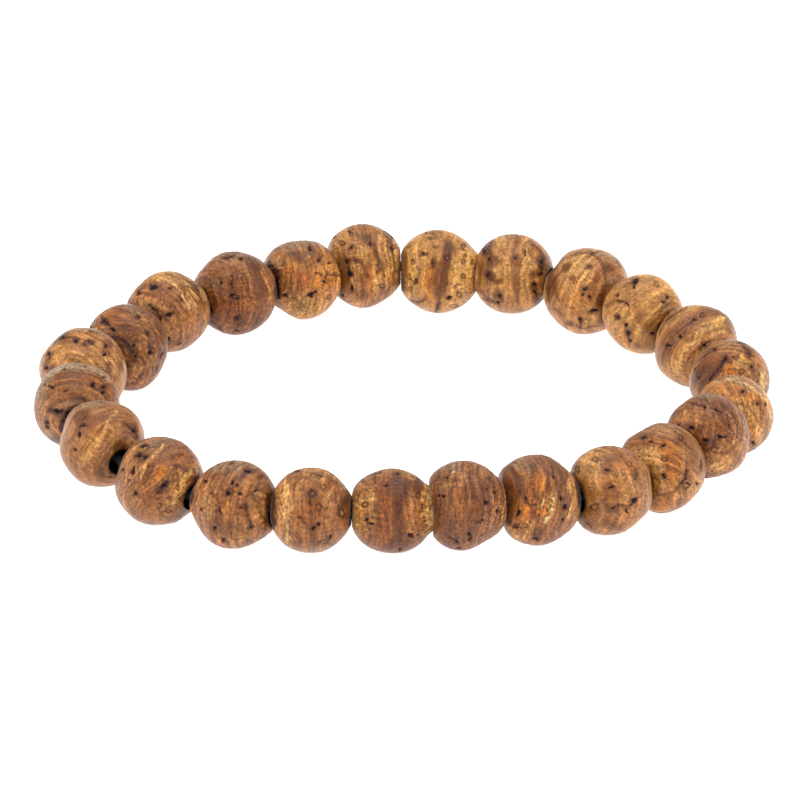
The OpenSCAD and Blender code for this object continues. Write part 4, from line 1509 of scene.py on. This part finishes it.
# Bead 21, at the left end: greyish brown and speckled, with a long black slot.
carve_bead(
    21,
    wood=("tan", "fawn", "umber"),
    grain=(12, 0.0009, 0.28),
    stains=[
        # Painted sheen: the grey oval along the top.
        ("grey_and_sheen", 0.8, 74, 367, 26, 5), ("tan", 0.6, 46, 402, 9, 26), ("orange", 0.4, 92, 383, 14, 8, 20),
        ("grey_and_sheen", 0.65, 71, 405, 12, 5, -10), ("umber", 0.5, 75, 378, 20, 5),
        ("umber", 0.7, 103, 388, 6, 4, -10), ("tan", 0.5, 55, 428, 10, 14, -30),
        ("umber", 0.5, 80, 397, 12, 3, 15), ("grey_and_sheen", 0.5, 42, 390, 6, 14, 10),
        ("honey", 0.35, 88, 390, 8, 6), ("umber", 0.45, 64, 392, 9, 4), ("umber", 0.5, 78, 394, 10, 5),
        # Painted shade: the char oval near 68, 416, in the crevice beside bead 22.
        ("umber", 0.5, 50, 398, 7, 5), ("umber", 0.6, 54, 440, 5, 6), ("char", 0.7, 68, 416, 3.5, 10, 25),
        ("walnut", 0.7, 53, 441, 6, 5),
    ],
    bands=[
        ("char", 0.6, 4, (50, 409), (56, 412), (63, 412)), ("umber", 0.5, 2, (82, 398), (86, 404)),
        # Painted sheen: the grey band along the top rim. Painted shade: the char band below it, in the
        # crevice beside bead 22.
        ("grey_and_sheen", 0.75, 5, (44, 383), (55, 371), (72, 364), (92, 366), (108, 379)),
        ("char", 0.75, 5, (76, 406), (67, 416), (61, 430)),
        # Painted sheen: the cream band along the top rim. Painted shade: the walnut band, in the crevice
        # beside bead 22.
        ("cream_and_highlight", 0.3, 5, (50, 375), (65, 366), (82, 364), (98, 368), (110, 380)),
        ("walnut", 0.85, 6, (72, 408), (66, 416), (62, 428)),
    ],
    rings=[(48, 423, 2, 2.5), (48, 428, 1.8, 1.8)],
    cracks=[
        (3, (49, 408), (54, 411), (58, 413), (63, 411)), (2.5, (74, 410), (68, 416), (64, 423)),
        (1.3, (78, 396), (84, 399)), (1.2, (91, 383), (95, 388)),
    ],
    pits=[
        (52, 386, 2.5, 1.5, 20), (66, 391, 2.2, 0.9, -15), (93, 385, 1.6, 1.6, 20), (103, 387, 3, 1.8, -30),
        (103, 392, 1.6, 1.8), (45, 384, 1.8, 0.8), (57, 411, 4, 2, 10), (48, 423, 1.8, 1.5),
        (48, 428, 1.6, 1.3), (70, 414, 3, 2, -50), (84, 367, 1.6, 0.8), (82, 371, 1.5, 0.7),
        (65, 370, 2, 0.7), (104, 377, 1.5, 0.8),
    ],
    dents=[(0.00015, 34, 408, 34)],
)

# Bead 22: golden in the middle with a slanting pale stripe, and fine end grain round its open hole.
carve_bead(
    22,
    wood=("gold", "tan", "chestnut"),
    grain=(5, 0.0008, 0.24),
    stains=[
        ("honey", 0.7, 108, 438, 10, 20, 30), ("chestnut", 0.75, 86, 425, 8, 12, 35),
        # Painted sheen: the grey oval along the top.
        ("umber", 0.6, 82, 416, 8, 5, -30), ("grey_and_sheen", 0.45, 95, 404, 18, 4, -10),
        ("honey", 0.35, 117, 407, 10, 5, 20), ("chestnut", 0.45, 77, 452, 8, 12, 10),
        ("umber", 0.55, 128, 428, 8, 7, 30), ("tan", 0.6, 70, 450, 6, 22),
        ("chestnut", 0.55, 88, 468, 12, 12, 20), ("umber", 0.45, 120, 441, 10, 5, -35),
        ("tan", 0.5, 100, 480, 16, 4), ("chestnut", 0.5, 120, 417, 9, 4, 10),
        ("umber", 0.4, 104, 468, 7, 12, 30), ("chestnut", 0.35, 112, 420, 20, 13),
        ("gold", 0.5, 86, 449, 4, 12, 20), ("chestnut", 0.5, 68, 452, 7, 16),
        ("gold", 0.4, 112, 447, 5, 10, 30), ("umber", 0.4, 105, 418, 10, 4, 10),
        ("chestnut", 0.4, 95, 425, 10, 8), ("umber", 0.55, 119, 447, 8, 5, -25),
    ],
    bands=[
        ("walnut", 0.6, 2.5, (126, 446), (117, 452), (112, 461), (111, 473)),
        ("straw", 0.6, 3, (83, 466), (91, 450), (102, 434), (109, 419), (118, 409)),
        ("umber", 0.5, 2, (72, 440), (77, 425), (88, 411)),
        ("umber", 0.4, 1.6, (94, 472), (100, 455), (112, 440), (126, 432)),
        ("umber", 0.4, 1.6, (102, 478), (105, 460), (115, 446), (128, 438)),
        ("honey", 0.45, 1.6, (90, 474), (96, 455), (108, 438), (122, 429)),
    ],
    rings=[(84, 424, 2.5, 1.5)],
    cracks=[
        (2, (123, 423), (130, 428), (134, 433), (138, 439)), (1.2, (134, 424), (136, 432)),
        (1.2, (80, 428), (85, 423)),
    ],
    pits=[
        (79, 434, 1.5, 2.5), (75, 450, 1.5, 1.2), (134, 430, 2.5, 3, 20), (84, 425, 1.3, 1),
        (110, 477, 2, 0.8, 20), (101, 402, 2.5, 0.8),
    ],
    dents=[(-0.00018, 140, 420, 32), (0.00018, 64, 465, 34), (0.00042, 60, 430, 30)],
)

# Bead 23: slanting stripes, black pits at its upper left, an orange patch and one long dark pit.
carve_bead(
    23,
    wood=("honey", "fawn", "umber"),
    grain=(25, 0.0009, 0.26),
    stains=[
        ("honey", 0.75, 132, 465, 9, 16, 15), ("orange", 0.95, 160, 472, 6, 11, 20),
        # Painted sheen: the grey oval along the top.
        ("grey_and_sheen", 0.6, 160, 443, 14, 4, -5), ("umber", 0.6, 147, 472, 5, 14, 30),
        ("umber", 0.8, 163, 488, 9, 4, -38), ("chestnut", 0.5, 175, 456, 16, 6, 20),
        ("orange", 0.35, 180, 458, 8, 4), ("russet", 0.6, 150, 500, 8, 9),
        ("straw", 0.45, 190, 466, 10, 5, 20), ("chestnut", 0.55, 180, 478, 6, 8, 20),
        ("tan", 0.6, 130, 500, 9, 16), ("umber", 0.7, 140, 457, 7, 6),
        ("chestnut", 0.5, 165, 455, 5, 14, 35), ("chestnut", 0.5, 145, 511, 12, 9),
        ("umber", 0.4, 137, 494, 3, 4), ("plum", 0.5, 138, 440, 10, 4, -20),
        ("chestnut", 0.5, 178, 463, 14, 5, 15), ("honey", 0.5, 170, 506, 9, 8),
        ("honey", 0.5, 140, 449, 9, 4, -25), ("chestnut", 0.5, 157, 462, 6, 8, 30),
        ("chestnut", 0.4, 190, 458, 8, 5, 20), ("gold", 0.6, 177, 485, 7, 13, 25),
        ("chestnut", 0.6, 157, 460, 6, 11, 30), ("straw", 0.5, 186, 492, 3, 10, 25),
        # Painted highlight: the straw oval near 183, 488 lightens a shaded part of the right side. Painted
        # shade: the walnut oval near 197, 480, in the crevice beside bead 24.
        ("chestnut", 0.35, 162, 459, 10, 8), ("straw", 0.7, 183, 488, 3, 10, 25),
        ("walnut", 0.9, 197, 480, 2.5, 8, 30),
    ],
    bands=[
        ("straw", 0.75, 3, (140, 478), (147, 464), (156, 451), (163, 445)),
        ("umber", 0.55, 2.5, (148, 478), (154, 465), (163, 452), (172, 446)),
        ("straw", 0.8, 4, (172, 505), (178, 490), (188, 477), (198, 468)),
        ("chestnut", 0.5, 2.5, (150, 490), (156, 474), (166, 460)),
        ("umber", 0.6, 2.5, (183, 497), (190, 487), (197, 477)),
        # Painted shade: the char band at the left edge, in the crevice beside bead 22.
        ("char", 0.8, 5, (127, 446), (119, 458), (115, 474)),
    ],
    rings=[
        (159, 499, 2.5, 2), (160, 507, 2.5, 2.5), (186, 471, 2, 2), (195, 471, 1.8, 2), (147, 484, 2.2, 2),
        (178, 466, 2, 2), (178, 487, 1.8, 1.8), (170, 513, 3, 1.5),
    ],
    cracks=[
        (2.5, (157, 492), (163, 487), (168, 482)), (1.5, (140, 449), (147, 446)),
        (1.2, (175, 482), (178, 474)),
    ],
    pits=[
        (138, 457, 3.5, 2.2, -10), (145, 458, 2, 2.2, 20), (133, 471, 2, 4, 20), (143, 447, 4, 1.4, -20),
        (123, 470, 1.5, 2), (164, 486, 4, 2, -38), (129, 480, 1.2, 1.2), (136, 494, 1.5, 2),
    ],
    dents=[
        (0.0003, 116, 468, 30), (0.00018, 165, 526, 40), (0.0003, 187, 515, 16), (-0.00008, 185, 445, 30),
    ],
)

# Bead 24: mid brown and rough, with scattered pits and a bent crack.
carve_bead(
    24,
    wood=("honey", "fawn", "umber"),
    grain=(0, 0.0009, 0.3),
    stains=[
        # Painted sheen: the grey oval along the top.
        ("grey_and_sheen", 0.6, 232, 468, 22, 6), ("honey", 0.6, 206, 500, 9, 18, 10),
        ("orange", 0.35, 230, 507, 8, 8), ("chestnut", 0.5, 240, 515, 8, 12),
        ("chestnut", 0.6, 230, 490, 16, 8), ("umber", 0.65, 216, 525, 6, 9), ("umber", 0.6, 228, 530, 5, 8),
        # Painted shade: the umber oval near 268, 505, at the right end beside bead 1.
        ("umber", 0.7, 268, 505, 5, 24), ("tan", 0.6, 250, 525, 12, 12), ("chestnut", 0.6, 225, 476, 20, 4),
        ("tan", 0.5, 255, 485, 9, 6), ("honey", 0.5, 238, 538, 14, 4),
        ("chestnut", 0.45, 245, 508, 6, 12, 10), ("orange", 0.4, 218, 540, 6, 3, 30),
        ("chestnut", 0.4, 245, 522, 14, 12), ("chestnut", 0.4, 233, 513, 6, 8),
        ("chestnut", 0.4, 242, 520, 5, 7), ("gold", 0.6, 259, 505, 6, 16),
    ],
    bands=[
        ("umber", 0.5, 2, (208, 478), (222, 474), (236, 471)),
        ("honey", 0.5, 3, (205, 486), (206, 500), (208, 516)),
        ("chestnut", 0.5, 3, (212, 490), (214, 505), (216, 520)),
        ("umber", 0.4, 2, (258, 495), (260, 510), (256, 530)),
        # Painted shade: the char band at the left edge, in the crevice beside bead 23.
        ("char", 0.8, 4, (200, 472), (193, 486), (190, 505)),
    ],
    rings=[(244, 507, 3.5, 2.2), (251, 525, 2.2, 2.2), (232, 492, 2.2, 2.2)],
    cracks=[
        (1.2, (211, 492), (217, 498), (220, 504)), (1.8, (218, 506), (220, 514)),
        (1.8, (245, 471), (252, 471)), (1.2, (229, 464), (234, 463)), (1.2, (221, 537), (226, 541)),
        (1, (241, 510), (246, 505)),
    ],
    pits=[
        (232, 482, 1.4, 2.2, 20), (237.5, 485, 1.4, 1.8), (228, 493, 2.2, 2.5), (240, 494, 2, 1.4, -20),
        (256, 491, 1.6, 1), (248, 471, 2.5, 1), (205, 481, 2, 1.2, -20), (201, 508, 1.4, 2),
        (224, 540, 1.6, 1.2), (251, 526, 1.6, 1.2), (215, 529, 1.3, 1),
    ],
    dents=[
        (0.0001, 200, 530, 30), (0.0001, 206, 470, 20), (-0.00015, 260, 467, 26), (-0.0002, 267, 528, 18),
        (0.0002, 195, 522, 24), (0.0002, 194, 486, 22),
    ],
)
